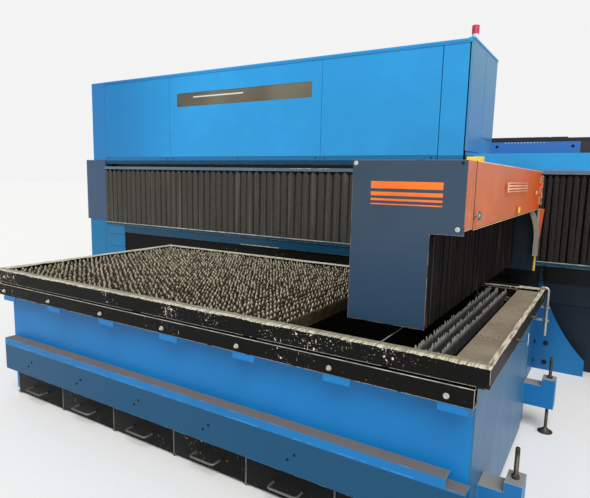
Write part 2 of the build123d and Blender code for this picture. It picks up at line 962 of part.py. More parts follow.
# Corner panel, and the access panel round the housing's right side
with BuildPart() as corner_panel:
    with BuildSketch(front_view(portal_front)):
        patch(panel_edges[3] + corner_gap, corner_right, panel_bottom, panel_top)
    extrude(amount=-panel_depth)
save(corner_panel, "corner_panel")

with BuildPart() as side_panel:
    with BuildSketch(level(side_panel_bottom)):
        patch(shell_right, housing_right, portal_front, housing_rear)
    extrude(amount=roof_top - roof_step - side_panel_bottom)
    with BuildSketch(level(side_panel_bottom)):
        patch(housing_right - side_post, housing_right, portal_front, shell_front)
    extrude(amount=panel_top - side_panel_bottom)
save(side_panel, "side_panel")

# Laser source: two discharge tubes in flanged ends, on cradles that stand on the housing's floor
with BuildPart() as laser_source:
    for dy in (-tube_spacing / 2, tube_spacing / 2):
        with BuildSketch(side_view(tube_centre_x - tube_length / 2)):
            with Locations((tube_centre_y + dy, tube_centre_z)):
                RegularPolygon(tube_radius, 16)
        extrude(amount=tube_length)
    for dx in (-tube_length / 2, 0, tube_length / 2):
        with BuildSketch(side_view(tube_centre_x + dx - flange_width / 2)):
            patch(
                tube_centre_y - tube_spacing / 2 - flange_radius,
                tube_centre_y + tube_spacing / 2 + flange_radius,
                tube_centre_z - flange_radius,
                tube_centre_z + flange_radius,
            )
        extrude(amount=flange_width)
    for dx in (-cradle_offset, cradle_offset):
        with BuildSketch(side_view(tube_centre_x + dx - cradle_width / 2)):
            patch(
                tube_centre_y - tube_spacing / 2 - flange_radius,
                tube_centre_y + tube_spacing / 2 + flange_radius,
                beam_top + housing_floor,
                tube_centre_z,
            )
        extrude(amount=cradle_width)
save(laser_source, "laser_source")

# Beacon on the roof's right corner: base, lens and cap as 24-sided prisms
beacon_foot = roof_top + roof_step
lens_bottom = beacon_foot + beacon_base_height
with BuildPart() as beacon_base:
    with BuildSketch(level(beacon_foot)):
        with Locations((beacon_x, beacon_y)):
            RegularPolygon(beacon_radius - beacon_neck, round_sides)
    extrude(amount=beacon_base_height)
save(beacon_base, "beacon_base")

with BuildPart() as beacon_lens:
    with BuildSketch(level(lens_bottom)):
        with Locations((beacon_x, beacon_y)):
            RegularPolygon(beacon_radius, round_sides)
    extrude(amount=lens_height + cap_height)
    chamfer(beacon_lens.edges().group_by(Axis.Z)[-1], length=cap_taper)
save(beacon_lens, "beacon_lens")

# Cover over the beam to the right of the housing
cover_left = housing_right + corner_gap
with BuildPart() as beam_end_cover:
    with BuildSketch(side_view(cover_left)):
        patch(portal_front - sheet, portal_front, bellows_rail_top, end_cover_top)
        patch(portal_front, beam_rear, end_cover_top - sheet, end_cover_top)
        patch(beam_rear - sheet, beam_rear, beam_top, end_cover_top)
    extrude(amount=beam_right - cover_left)
    with BuildSketch(side_view(beam_right - sheet)):
        patch(portal_front, beam_rear, beam_top, end_cover_top)
    extrude(amount=sheet)
save(beam_end_cover, "beam_end_cover")

# Cable trough behind the housing, with the box where the cables leave it
trough_rear = housing_rear + trough_width
trough_bottom = trough_top - trough_height
with BuildPart() as chain_trough:
    with BuildSketch(side_view(trough_left)):
        patch(housing_rear, trough_rear, trough_bottom, trough_top)
        patch(
            housing_rear + trough_sheet,
            trough_rear - trough_sheet,
            trough_bottom + trough_sheet,
            trough_top,
            mode=Mode.SUBTRACT,
        )
        patch(housing_rear, housing_rear + trough_sheet, trough_apron, trough_bottom)
    extrude(amount=trough_right - trough_left)
    with BuildSketch(front_view(housing_rear)):
        patch(trough_right, cable_box_right, cable_box_bottom, trough_top)
    extrude(amount=-trough_width)
save(chain_trough, "chain_trough")

# Cable chain lying in the trough: box links joined by a narrower neck
link_bottom = trough_bottom + trough_sheet
with BuildPart() as cable_chain:
    with BuildSketch(side_view(trough_left)):
        patch(
            housing_rear + link_margin + link_gap,
            trough_rear - link_margin - link_gap,
            link_bottom,
            link_top - link_gap,
        )
    extrude(amount=trough_right - trough_left)
    link_total = int((trough_right - trough_left) // link_pitch)
    for i in range(link_total):
        with BuildSketch(side_view(trough_left + link_pitch * i)):
            patch(housing_rear + link_margin, trough_rear - link_margin, link_bottom, link_top)
    extrude(amount=link_pitch - link_gap)
    with BuildSketch(side_view(trough_right)):
        patch(
            housing_rear + link_margin + link_gap,
            trough_rear - link_margin - link_gap,
            trough_top,
            link_top - link_gap,
        )
    extrude(amount=cable_box_right - trough_right)
save(cable_chain, "cable_chain")

# Arm beam: box tube from the carriage out over the table, with two ribs down to the carriage's foot
arm_beam_right = arm_beam_left + arm_beam_width
arm_inner_top = arm_top - arm_sheet
with BuildPart() as arm_beam:
    with BuildSketch(front_view(arm_front)):
        patch(arm_beam_left, arm_beam_right, arm_beam_bottom, carriage_top)
        patch(
            arm_beam_left + arm_beam_wall,
            arm_beam_right - arm_beam_wall,
            arm_beam_bottom + arm_beam_wall,
            carriage_top - arm_beam_wall,
            mode=Mode.SUBTRACT,
        )
    extrude(amount=-(carriage_face - arm_front))
    with BuildSketch(level(carriage_top)):
        patch(arm_beam_left, arm_beam_right, arm_front, arm_rear - arm_sheet)
    extrude(amount=arm_inner_top - carriage_top)
    for x in (arm_beam_left, arm_beam_right - rib_thick):
        with BuildSketch(side_view(x)):
            Polygon(
                (root_cover_front + rib_gap, arm_beam_bottom),
                (carriage_face, arm_beam_bottom),
                (carriage_face, carriage_bottom),
                (carriage_face - carriage_flange, carriage_bottom),
                align=None,
            )
        extrude(amount=rib_thick)
save(arm_beam, "arm_beam")

# Guide rails under the arm beam
y_rail_x = (arm_beam_left + y_guide_inset, arm_beam_right - y_guide_inset)
y_rail_bottom = arm_beam_bottom - y_guide_height
with BuildPart() as arm_rails:
    with BuildSketch(level(y_rail_bottom)):
        for x in y_rail_x:
            patch(x - y_guide_width / 2, x + y_guide_width / 2, arm_front, root_cover_front)
    extrude(amount=y_guide_height)
save(arm_rails, "arm_rails")

# Carriage: plate with folded ends that the bellows meet, and runner blocks on the guide rails
runner_rear = beam_face - guide_depth + guide_depth / 2
carriage_rear = carriage_face + carriage_thick
carriage_middle = (arm_left + carriage_right) / 2
with BuildPart() as x_carriage:
    with BuildSketch(level(carriage_bottom)):
        patch(arm_left, carriage_right, carriage_face, carriage_rear)
        patch(arm_left, arm_left + sheet, carriage_face - carriage_flange, carriage_face)
        patch(carriage_right - sheet, carriage_right, carriage_face - carriage_flange, carriage_face)
    extrude(amount=carriage_top - carriage_bottom)
    for dx in (-runner_spread / 2, runner_spread / 2):
        with BuildSketch(side_view(carriage_middle + dx - runner_length / 2)):
            for z in guide_levels:
                patch(carriage_rear, runner_rear, z - runner_height / 2, z + runner_height / 2)
                patch(
                    beam_face - guide_depth - runner_gap,
                    runner_rear,
                    z - guide_size / 2 - runner_gap,
                    z + guide_size / 2 + runner_gap,
                    mode=Mode.SUBTRACT,
                )
        extrude(amount=runner_length)
save(x_carriage, "x_carriage")

# Front plate of the arm, cut away at its lower right
with BuildPart() as arm_front_plate:
    with BuildSketch(front_view(arm_front)):
        Polygon(
            (arm_left, front_plate_low),
            (front_plate_notch, front_plate_low),
            (front_plate_notch, front_plate_step),
            (arm_right, front_plate_step),
            (arm_right, arm_top),
            (arm_left, arm_top),
            align=None,
        )
    extrude(amount=front_plate_thick)
save(arm_front_plate, "arm_front_plate")

# Arm cover: folded sheet over the beam, open on the right where the door closes it, with the door's hinge pin
hinge_x = arm_right + hinge_out
hinge_y = arm_rear - arm_sheet / 2
cover_knuckle = hinge_levels[1] - hinge_levels[0] - hinge_knuckle - 2 * hinge_gap
pin_low = hinge_levels[0] - hinge_knuckle / 2 - hinge_out
pin_high = hinge_levels[-1] + hinge_knuckle / 2 + hinge_out
cover_knuckles = [(low + high) / 2 for low, high in zip(hinge_levels, hinge_levels[1:])]
door_front = arm_front + door_front_gap
door_left = arm_right - door_pan
tunnel_left_flange = arm_left + tunnel_side + y_fold_depth
tunnel_right_flange = front_plate_notch - y_fold_depth
with BuildPart() as arm_cover:
    with BuildSketch(front_view(arm_front)):
        patch(arm_left, door_left - door_clear, arm_top - arm_sheet, arm_top)
        patch(arm_left, arm_left + arm_sheet, arm_bottom, arm_top)
        patch(arm_left, tunnel_left_flange, arm_bottom, arm_bottom + arm_sheet)
        patch(tunnel_right_flange, door_left - door_clear, arm_bottom, arm_bottom + arm_sheet)
    extrude(amount=-(arm_rear - arm_front))
    with BuildSketch(front_view(arm_front)):
        patch(door_left - door_clear, arm_right, arm_top - arm_sheet, arm_top)
        patch(door_left - door_clear, arm_right, arm_bottom, arm_bottom + arm_sheet)
        patch(arm_right - arm_sheet, arm_right, arm_bottom, arm_top)
    extrude(amount=-(door_front - door_clear - arm_front))
    with BuildSketch(front_view(arm_rear - arm_sheet)):
        patch(tunnel_right_flange, door_left - door_clear, arm_bottom, arm_top)
        patch(arm_left, tunnel_left_flange, arm_bottom, arm_top)
    extrude(amount=-arm_sheet)
    for z in cover_knuckles:
        with BuildSketch(level(z - cover_knuckle / 2)):
            patch(door_left - door_clear - arm_sheet, hinge_x, arm_rear - arm_sheet, arm_rear)
            with Locations((hinge_x, hinge_y)):
                RegularPolygon(hinge_out, rod_sides)
    extrude(amount=cover_knuckle)
    with BuildSketch(level(pin_low)):
        with Locations((hinge_x, hinge_y)):
            RegularPolygon(hinge_pin_radius, rod_sides)
    extrude(amount=pin_high - pin_low)
save(arm_cover, "arm_cover")

# Door that closes the cover's right side, hung on the pin
door_rear = arm_rear - arm_sheet - door_clear
latch_y = door_front + latch_from_edge
with BuildPart() as arm_door:
    with BuildSketch(side_view(arm_right - arm_sheet)):
        patch(door_front, door_rear, arm_bottom + door_lift, arm_top)
        with Locations((latch_y, latch_level)):
            RegularPolygon(latch_shaft + latch_fit, rod_sides, major_radius=False, mode=Mode.SUBTRACT)
    extrude(amount=arm_sheet)
    with BuildSketch(side_view(door_left)):
        patch(door_front, door_rear, arm_top - arm_sheet, arm_top)
        patch(door_front, door_rear, arm_bottom + door_lift, arm_bottom + door_lift + arm_sheet)
        patch(door_rear - arm_sheet, door_rear, arm_bottom + door_lift, arm_top)
    extrude(amount=door_pan - arm_sheet)
    for z in hinge_levels:
        with BuildSketch(level(z - hinge_knuckle / 2)):
            patch(arm_right, arm_right + arm_sheet, hinge_y - hinge_leaf, hinge_y)
            with Locations((hinge_x, hinge_y)):
                RegularPolygon(hinge_out, rod_sides)
                RegularPolygon(
                    hinge_pin_radius + hinge_fit, rod_sides, major_radius=False, mode=Mode.SUBTRACT
                )
    extrude(amount=hinge_knuckle)
save(arm_door, "arm_door")

# Quarter-turn latch: slotted head outside, shaft through the door, and a cam behind the front strip
with BuildPart() as door_latch:
    with BuildSketch(side_view(arm_right)):
        with Locations((latch_y, latch_level)):
            RegularPolygon(latch_radius, 16)
    extrude(amount=latch_proud)
    with BuildSketch(side_view(arm_right + latch_proud - latch_slot)):
        with Locations((latch_y, latch_level)):
            Rectangle(latch_slot, latch_radius * 3)
    extrude(amount=latch_slot, mode=Mode.SUBTRACT)
    with BuildSketch(side_view(arm_right - arm_sheet - cam_thick)):
        with Locations((latch_y, latch_level)):
            RegularPolygon(latch_shaft, rod_sides)
    extrude(amount=arm_sheet + cam_thick)
    with BuildSketch(side_view(arm_right - arm_sheet - cam_gap - cam_thick)):
        patch(
            latch_y - cam_width / 2,
            latch_y + cam_width / 2,
            latch_level - cam_width / 2,
            latch_level + cam_length,
        )
    extrude(amount=cam_thick)
save(door_latch, "door_latch")

# Cover round the arm's root, below the arm cover, with a tapered stay on its right
with BuildPart() as root_cover:
    with BuildSketch(level(root_cover_bottom)):
        patch(arm_left, carriage_right, root_cover_front, carriage_face - carriage_flange)
        patch(
            arm_left + sheet,
            carriage_right - sheet,
            root_cover_front + sheet,
            carriage_face - carriage_flange,
            mode=Mode.SUBTRACT,
        )
    extrude(amount=arm_bottom - root_cover_bottom)
    with BuildSketch(level(root_cover_bottom)):
        patch(arm_left, carriage_right, root_cover_front, carriage_face - carriage_flange)
    extrude(amount=sheet)
    with BuildSketch(front_view(stay_y)):
        Polygon(
            (carriage_right, arm_bottom),
            (carriage_right + stay_width, arm_bottom),
            (carriage_right + stay_width / 2, guard_knee),
            (carriage_right, guard_knee),
            align=None,
        )
    extrude(amount=-sheet)
save(root_cover, "root_cover")

# Curved hose guard on the right of the root cover, with the air hose behind it
with BuildPart() as hose_guard:
    with BuildSketch(front_view(root_cover_front)):
        with BuildLine():
            Line((guard_start, arm_bottom), (guard_start + guard_band, arm_bottom))
            ThreePointArc(
                (guard_start + guard_band, arm_bottom),
                (carriage_right + guard_band - guard_sag, (arm_bottom + guard_knee) / 2),
                (carriage_right + guard_band, guard_knee),
            )
            Line((carriage_right + guard_band, guard_knee), (carriage_right + guard_band, guard_low))
            Line((carriage_right + guard_band, guard_low), (carriage_right, guard_low))
            Line((carriage_right, guard_low), (carriage_right, guard_knee))
            ThreePointArc(
                (carriage_right, guard_knee),
                (carriage_right - guard_sag, (arm_bottom + guard_knee) / 2),
                (guard_start, arm_bottom),
            )
        make_face()
    extrude(amount=guard_width)
    with BuildSketch(level(root_cover_bottom)):
        with Locations((carriage_right + hose_radius + seat_gap, root_cover_front + hose_radius + seat_gap)):
            RegularPolygon(hose_radius, 10)
    extrude(amount=arm_bottom - root_cover_bottom - seat_gap)
save(hose_guard, "hose_guard")

# Head carriage: frame plate across the bellows tunnel, top plate with runners and the upright slideway
carriage_top_z = y_rail_bottom - y_plate_gap
frame_rear_y = y_carriage_front + y_frame_thick
tunnel_middle = (arm_beam_left + arm_beam_right) / 2
with BuildPart() as head_carriage:
    with BuildSketch(front_view(y_carriage_front)):
        patch(arm_left + tunnel_side, front_plate_notch, tunnel_low, y_rail_bottom - tunnel_side)
    extrude(amount=-y_frame_thick)
    with BuildSketch(level(carriage_top_z - y_carriage_thick)):
        patch(
            y_rail_x[0] - y_guide_width,
            y_rail_x[1] + y_guide_width,
            y_carriage_front,
            y_carriage_front + y_carriage_length,
        )
    extrude(amount=y_carriage_thick)
    with BuildSketch(front_view(y_carriage_front)):
        for x in y_rail_x:
            patch(x - y_guide_width, x + y_guide_width, carriage_top_z, y_rail_bottom + y_guide_height / 2)
            patch(
                x - y_guide_width / 2 - runner_gap,
                x + y_guide_width / 2 + runner_gap,
                y_rail_bottom - runner_gap,
                y_rail_bottom + y_guide_height / 2,
                mode=Mode.SUBTRACT,
            )
    extrude(amount=-y_carriage_length)
    with BuildSketch(level(slideway_bottom)):
        patch(
            tunnel_middle - slideway_width / 2,
            tunnel_middle + slideway_width / 2,
            frame_rear_y,
            frame_rear_y + slideway_thick,
        )
    extrude(amount=carriage_top_z - y_carriage_thick - slideway_bottom)
save(head_carriage, "head_carriage")

# Cutting head: round body with a taper below and a slide block on the slideway, and the nozzle under it
head_y = frame_rear_y + slideway_thick + slide_block + head_radius
head_top = carriage_top_z - y_carriage_thick - head_top_gap
with BuildPart() as cutting_head:
    with BuildSketch(level(head_bottom)):
        with Locations((tunnel_middle, head_y)):
            RegularPolygon(head_radius, round_sides)
    extrude(amount=head_top - head_bottom)
    with BuildSketch(level(nozzle_root)):
        with Locations((tunnel_middle, head_y)):
            RegularPolygon(head_radius / 2, round_sides)
    extrude(amount=head_bottom - nozzle_root, taper=-head_taper)
    with BuildSketch(level(head_bottom)):
        patch(
            tunnel_middle - slideway_width / 2,
            tunnel_middle + slideway_width / 2,
            frame_rear_y + slideway_thick + seat_gap,
            head_y,
        )
    extrude(amount=head_top - head_bottom)
save(cutting_head, "cutting_head")

with BuildPart() as nozzle:
    with BuildSketch(level(nozzle_root - nozzle_collar)):
        with Locations((tunnel_middle, head_y)):
            RegularPolygon(head_radius / 2, round_sides)
    extrude(amount=nozzle_collar)
    with BuildSketch(level(nozzle_tip)):
        with Locations((tunnel_middle, head_y)):
            RegularPolygon(nozzle_tip_radius, round_sides)
    extrude(amount=nozzle_root - nozzle_collar - nozzle_tip, taper=-nozzle_taper)
save(nozzle, "nozzle")

# Bellows along the portal: folded skins between the rails, on both sides of the arm
fold_top = bellows_rail_top - bellows_rail_sheet - bellows_gap
fold_bottom = beam_bottom + bellows_gap
fold_front = bellows_rail_front + bellows_rail_sheet + bellows_gap
right_end = beam_right - bellows_rail_sheet - bellows_gap
x_runs = (
    ("x_bellows_left", beam_left + bellows_gap, arm_left - bellows_gap, left_fold_count),
    ("x_bellows_right", carriage_right + bellows_gap, right_end, right_fold_count),
)
for name, start, end, count in x_runs:
    with BuildPart() as x_bellows:
        with BuildSketch(level(fold_bottom)):
            Polygon(*folds(start, end, count, fold_front, fold_front + x_fold_depth), align=None)
        extrude(amount=fold_top - fold_bottom)
    save(x_bellows, name)

# Bellows under the arm: a folded skin on each side of the tunnel, joined by end frames
tunnel_left = arm_left + tunnel_side
y_runs = (
    ("y_bellows_front", arm_front + bellows_gap, y_carriage_front - bellows_gap, front_fold_count),
    ("y_bellows_rear", frame_rear_y + bellows_gap, root_cover_front - bellows_gap, rear_fold_count),
)
for name, start, end, count in y_runs:
    left_skin = [(x, y) for y, x in folds(start, end, count, tunnel_left, tunnel_left + y_fold_depth)]
    right_skin = [(tunnel_left + front_plate_notch - x, y) for x, y in left_skin]
    with BuildPart() as y_bellows:
        with BuildSketch(level(front_plate_low)):
            Polygon(*left_skin, align=None)
            Polygon(*right_skin, align=None)
        extrude(amount=arm_bottom - bellows_gap - front_plate_low)
    save(y_bellows, name)
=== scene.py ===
"""Studio scene of a flat-bed laser cutting machine: slat table, portal with bellows, housing and sliding arm.

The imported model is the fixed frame. This script dresses its nodes with procedural finishes and adds the
forms that are too fine for it: slat teeth, bellows pleats, threads, screws, seams and bent rods.
Lengths are metres; +X runs along the portal, +Y away from the operator and +Z up.
"""

from __future__ import annotations

import json
import logging
import math
import random
from dataclasses import dataclass, replace
from enum import Enum, StrEnum
from typing import Iterable, Sequence

import bmesh
import bpy
from mathutils import Matrix, Vector

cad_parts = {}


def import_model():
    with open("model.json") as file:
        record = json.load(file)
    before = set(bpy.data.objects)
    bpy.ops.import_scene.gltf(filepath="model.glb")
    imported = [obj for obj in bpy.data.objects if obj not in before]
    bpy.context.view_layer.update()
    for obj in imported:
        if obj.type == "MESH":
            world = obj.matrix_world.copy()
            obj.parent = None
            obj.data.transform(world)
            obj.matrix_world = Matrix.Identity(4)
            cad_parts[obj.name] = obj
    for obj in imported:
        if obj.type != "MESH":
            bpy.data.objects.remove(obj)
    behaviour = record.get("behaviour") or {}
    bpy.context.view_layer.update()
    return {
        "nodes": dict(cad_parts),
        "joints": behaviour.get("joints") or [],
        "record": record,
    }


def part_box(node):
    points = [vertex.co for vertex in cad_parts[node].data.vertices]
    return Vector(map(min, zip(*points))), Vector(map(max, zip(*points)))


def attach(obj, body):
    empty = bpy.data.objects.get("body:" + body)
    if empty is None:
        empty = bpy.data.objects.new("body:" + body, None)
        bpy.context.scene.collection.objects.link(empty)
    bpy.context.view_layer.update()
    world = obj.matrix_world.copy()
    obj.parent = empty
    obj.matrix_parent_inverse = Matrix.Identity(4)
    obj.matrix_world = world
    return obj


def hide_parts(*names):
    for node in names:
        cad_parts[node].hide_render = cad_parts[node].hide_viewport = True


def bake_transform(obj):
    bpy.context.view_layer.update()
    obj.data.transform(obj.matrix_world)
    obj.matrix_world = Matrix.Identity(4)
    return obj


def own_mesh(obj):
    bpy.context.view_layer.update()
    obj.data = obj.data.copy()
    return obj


LOG = logging.getLogger("cutting_machine")
PHOTO_WIDTH = 590
PHOTO_HEIGHT = 498

# How far the tub's flange stands out past its side plates
FLANGE = 0.040

Colour = tuple[float, float, float]
Point = tuple[float, float, float]
Span = tuple[float, float]
Profile = Sequence[tuple[float, float]]
Box = tuple[Point, Point]
Patch = tuple[float, float, float, float]
Socket = bpy.types.NodeSocket

RIGHT: Point = (1, 0, 0)
FRONT: Point = (0, -1, 0)
UP: Point = (0, 0, 1)


def srgb(red: float, green: float, blue: float) -> Colour:
    """Turn 8-bit display values into linear light.

    Args:
        red: Red, from 0 to 255.
        green: Green, from 0 to 255.
        blue: Blue, from 0 to 255.

    Returns:
        The colour in linear light.
    """
    channels = [value / 255.0 for value in (red, green, blue)]
    linear = [c / 12.92 if c <= 0.04045 else ((c + 0.055) / 1.055) ** 2.4 for c in channels]
    return (linear[0], linear[1], linear[2])


def scaled(colour: Colour, factor: float) -> Colour:
    """Make a colour lighter or darker, with each channel held at 1 or less."""
    red, green, blue = (min(1.0, channel * factor) for channel in colour)
    return (red, green, blue)


class Slot(StrEnum):
    """Material slots of the machine's record."""

    WORN_BLACK = "worn_black"
    SLAG_STEEL = "slag_steel"
    DUSTY_STEEL = "dusty_steel"
    BASE_BLUE = "base_blue"
    LOWER_BLUE = "lower_blue"
    BRIGHT_BLUE = "bright_blue"
    SIDE_BLUE = "side_blue"
    SHADED_TEAL_PAINT = "teal_paint"
    SLATE_PAINT = "slate_paint"
    NAVY_PAINT = "navy_paint"
    MATT_BLACK = "matt_black"
    ORANGE_PAINT = "orange_paint"
    GREY_STEEL = "grey_steel"
    GROUND_STEEL = "ground_steel"
    PALE_ZINC = "pale_zinc"
    CHROME_ROD = "chrome_rod"
    SMOKED_PANE = "smoked_pane"
    RED_LENS = "red_lens"
    BLACK_PLASTIC = "black_plastic"
    GREY_PLASTIC = "grey_plastic"
    COPPER_TIP = "copper_tip"
    BELLOWS_CLOTH = "bellows_cloth"


class Axis(Enum):
    """Frame axes, by their place in a vector."""

    X = 0
    Y = 1
    Z = 2


@dataclass(frozen=True)
class Stretch:
    """A change of colour between two places along one axis."""

    axis: Axis
    start: float
    end: float
    colour: Colour


@dataclass(frozen=True)
class Room:
    """A space between two corners whose surfaces take another colour, such as painted shade under an overhang."""

    low: Point
    high: Point
    colour: Colour


class NodeBench:
    """Short calls for laying out the nodes of one shader tree."""

    def __init__(self, tree: bpy.types.NodeTree) -> None:
        """Start on a tree."""
        self.tree = tree

    def add(self, kind: str, inputs: dict[str | int, object] | None = None, **settings: object) -> bpy.types.Node:
        """Add a node.

        Args:
            kind: The node's type name.
            inputs: Values or sockets for its inputs, by name or index.
            **settings: Properties of the node.

        Returns:
            The new node.
        """
        node = self.tree.nodes.new(kind)
        for key, value in settings.items():
            setattr(node, key, value)
        for key, value in (inputs or {}).items():
            self.feed(node.inputs[key], value)
        return node

    def feed(self, target: Socket, value: object) -> None:
        """Link a socket to an input, or set the input's own value.

        Args:
            target: The input.
            value: A socket to link, or a plain value.
        """
        if isinstance(value, bpy.types.NodeSocket):
            self.tree.links.new(value, target)
        elif isinstance(value, tuple) and len(value) == 3 and len(target.default_value) == 4:
            target.default_value = (*value, 1.0)
        else:
            target.default_value = value

    def calc(self, operation: str, *terms: object, clamp: bool = False) -> Socket:
        """Give the result of a maths node, held between 0 and 1 where clamp is set."""
        return self.add("ShaderNodeMath", dict(enumerate(terms)), operation=operation, use_clamp=clamp).outputs[0]

    def times(self, first: object, second: object) -> Socket:
        """Multiply two values."""
        return self.calc("MULTIPLY", first, second)

    def plus(self, first: object, second: object) -> Socket:
        """Add two values."""
        return self.calc("ADD", first, second)

    def minus(self, first: object, second: object) -> Socket:
        """Take the second value from the first."""
        return self.calc("SUBTRACT", first, second)

    def remap(self, value: Socket, low: object, high: object, kind: str = "SMOOTHSTEP") -> Socket:
        """Stretch a value so that low becomes 0 and high becomes 1."""
        return self.add("ShaderNodeMapRange", {0: value, 1: low, 2: high}, interpolation_type=kind).outputs[0]

    def mix(self, factor: object, first: object, second: object) -> Socket:
        """Mix two colours by the second's share."""
        return self.add("ShaderNodeMix", {0: factor, 6: first, 7: second}, data_type="RGBA").outputs[2]

    def vary(self, tone: Socket, colour: Colour, dark: float, light: float) -> Socket:
        """Vary a colour between a darker and a lighter form of it."""
        return self.mix(tone, scaled(colour, dark), scaled(colour, light))

    def place(self, stretch: Point = (1.0, 1.0, 1.0), turn: Point = (0.0, 0.0, 0.0)) -> Socket:
        """Give the surface's place in the machine's frame.

        Args:
            stretch: Scale along each axis.
            turn: Turn about each axis.

        Returns:
            The place's socket.
        """
        source = self.add("ShaderNodeTexCoord").outputs["Object"]
        if stretch == (1.0, 1.0, 1.0):
            return source
        return self.add("ShaderNodeMapping", {"Vector": source, "Rotation": turn, "Scale": stretch}).outputs[0]

    def along(self, axis: Axis) -> Socket:
        """Give the surface's place along one axis."""
        return self.add("ShaderNodeSeparateXYZ", {0: self.place()}).outputs[axis.value]

    def noise(self, scale: object, detail: float = 3.0, *place: Point) -> Socket:
        """Give cloudy noise of about 0.3 to 0.7, with so many lumps to the metre."""
        inputs = {"Vector": self.place(*place), "Scale": scale, "Detail": detail}
        return self.add("ShaderNodeTexNoise", inputs).outputs[0]

    def cells(self, scale: object) -> Socket:
        """Give the distance to the nearest of many scattered points."""
        return self.add("ShaderNodeTexVoronoi", {"Vector": self.place(), "Scale": scale}).outputs["Distance"]


class GroupShelf:
    """Node groups that several finishes share, each laid out when it is first asked for."""

    made: dict[str, bpy.types.NodeTree] = {}
    defaults: dict[str, dict[str, float]] = {
        "mottle": {"Scale": 1.0},
        "edge_wear": {"Scale": 20.0, "Share": 0.5, "Reach": 0.004},
        "settled_dust": {"Scale": 6.0, "Share": 0.6},
        "speckle": {"Scale": 60.0, "Share": 0.2},
        "chips": {"Scale": 60.0, "Share": 0.5},
        "scratches": {"Scale": 4.0, "Share": 0.3},
        "ragged_band": {"Scale": 30.0, "Level": 0.9, "Reach": 0.02},
        "grain": {"Scale": 400.0},
        "draw_lines": {"Scale": 30.0},
    }

    def __init__(self, name: str) -> None:
        """Open a group with its sockets and lay it out.

        Args:
            name: One of the layouts below.
        """
        tree = bpy.data.node_groups.new(name, "ShaderNodeTree")
        for key, value in self.defaults[name].items():
            socket = tree.interface.new_socket(name=key, in_out="INPUT", socket_type="NodeSocketFloat")
            socket.default_value = value
        tree.interface.new_socket(name="Result", in_out="OUTPUT", socket_type="NodeSocketFloat")
        self.bench = NodeBench(tree)
        self.given = self.bench.add("NodeGroupInput").outputs
        self.scale = self.given["Scale"]
        self.result = self.bench.add("NodeGroupOutput").inputs[0]
        getattr(self, name)()

    @classmethod
    def use(cls, bench: NodeBench, name: str, **inputs: object) -> Socket:
        """Place a group in a material.

        Args:
            bench: The material's bench.
            name: The group's name.
            **inputs: Values for the group's inputs.

        Returns:
            The group's only output.
        """
        if name not in cls.made:
            cls.made[name] = cls(name).bench.tree
        named = {key.title(): value for key, value in inputs.items()}
        return bench.add("ShaderNodeGroup", named, node_tree=cls.made[name]).outputs[0]

    def give(self, value: Socket) -> None:
        """Send a value out of the group."""
        self.bench.feed(self.result, value)

    def share(self, factor: float) -> Socket:
        """Give a multiple of the share that is asked for."""
        return self.bench.times(self.given["Share"], factor)

    def peaks(self, value: Socket, start: object, loss: object, width: float) -> Socket:
        """Mask where a value rises above a floor, from start less the loss on, over a width."""
        floor = self.bench.minus(start, loss)
        return self.bench.remap(value, floor, self.bench.plus(floor, width))

    def mottle(self) -> None:
        """Lay out slow changes of tone over a surface."""
        bench = self.bench
        broad, fine = bench.noise(self.scale, 2.0), bench.noise(bench.times(self.scale, 9.0), 4.0)
        self.give(bench.remap(bench.plus(bench.times(broad, 0.7), bench.times(fine, 0.3)), 0.36, 0.64))

    def edge_wear(self) -> None:
        """Mask sharp edges where paint has rubbed off in patches."""
        bench = self.bench
        rounded = bench.add("ShaderNodeBevel", {"Radius": self.given["Reach"]}, samples=4).outputs[0]
        true = bench.add("ShaderNodeNewGeometry").outputs["Normal"]
        dot = bench.add("ShaderNodeVectorMath", {0: rounded, 1: true}, operation="DOT_PRODUCT").outputs["Value"]
        edge = bench.remap(bench.minus(1.0, dot), 0.02, 0.16)
        worn = self.peaks(bench.noise(self.scale, 5.0), start=0.72, loss=self.share(0.42), width=0.05)
        self.give(bench.times(edge, worn))

    def settled_dust(self) -> None:
        """Mask faces that look up and hold dust."""
        bench = self.bench
        normal = bench.add("ShaderNodeNewGeometry").outputs["Normal"]
        up = bench.remap(bench.add("ShaderNodeSeparateXYZ", {0: normal}).outputs[2], 0.55, 0.95)
        patches = self.peaks(bench.noise(self.scale, 5.0), start=0.75, loss=self.share(0.5), width=0.25)
        self.give(bench.times(up, patches))

    def speckle(self) -> None:
        """Mask small scattered marks that gather in patches."""
        bench = self.bench
        clusters = bench.remap(bench.noise(bench.times(self.scale, 0.06), 3.0), 0.45, 0.75)
        size = bench.times(clusters, self.given["Share"])
        self.give(bench.minus(1.0, bench.remap(bench.cells(self.scale), size, bench.plus(size, 0.04))))

    def chips(self) -> None:
        """Mask torn flakes, short drips and specks that gather in patches."""
        bench = self.bench
        loss = bench.times(bench.remap(bench.noise(3.0, 2.0), 0.38, 0.68), self.share(0.21))
        mask: object = 0.0
        for factor, detail, stretch, start, width in (
            (1.0, 5.0, (1.0, 1.0, 0.8), 0.77, 0.015),
            (2.2, 2.0, (1.0, 1.0, 0.1), 0.80, 0.015),
            (2.6, 3.0, (1.0, 1.0, 1.0), 0.77, 0.010),
        ):
            marks = self.peaks(bench.noise(bench.times(self.scale, factor), detail, stretch), start, loss, width)
            mask = bench.calc("MAXIMUM", mask, marks)
        self.give(mask)

    def scratches(self) -> None:
        """Mask thin rubbed lines."""
        bench = self.bench
        lines = bench.noise(self.scale, 6.0, (0.6, 0.6, 14.0))
        thin = self.peaks(lines, start=0.86, loss=self.share(0.25), width=0.02)
        self.give(bench.times(thin, bench.remap(bench.noise(2.5, 2.0), 0.5, 0.65)))

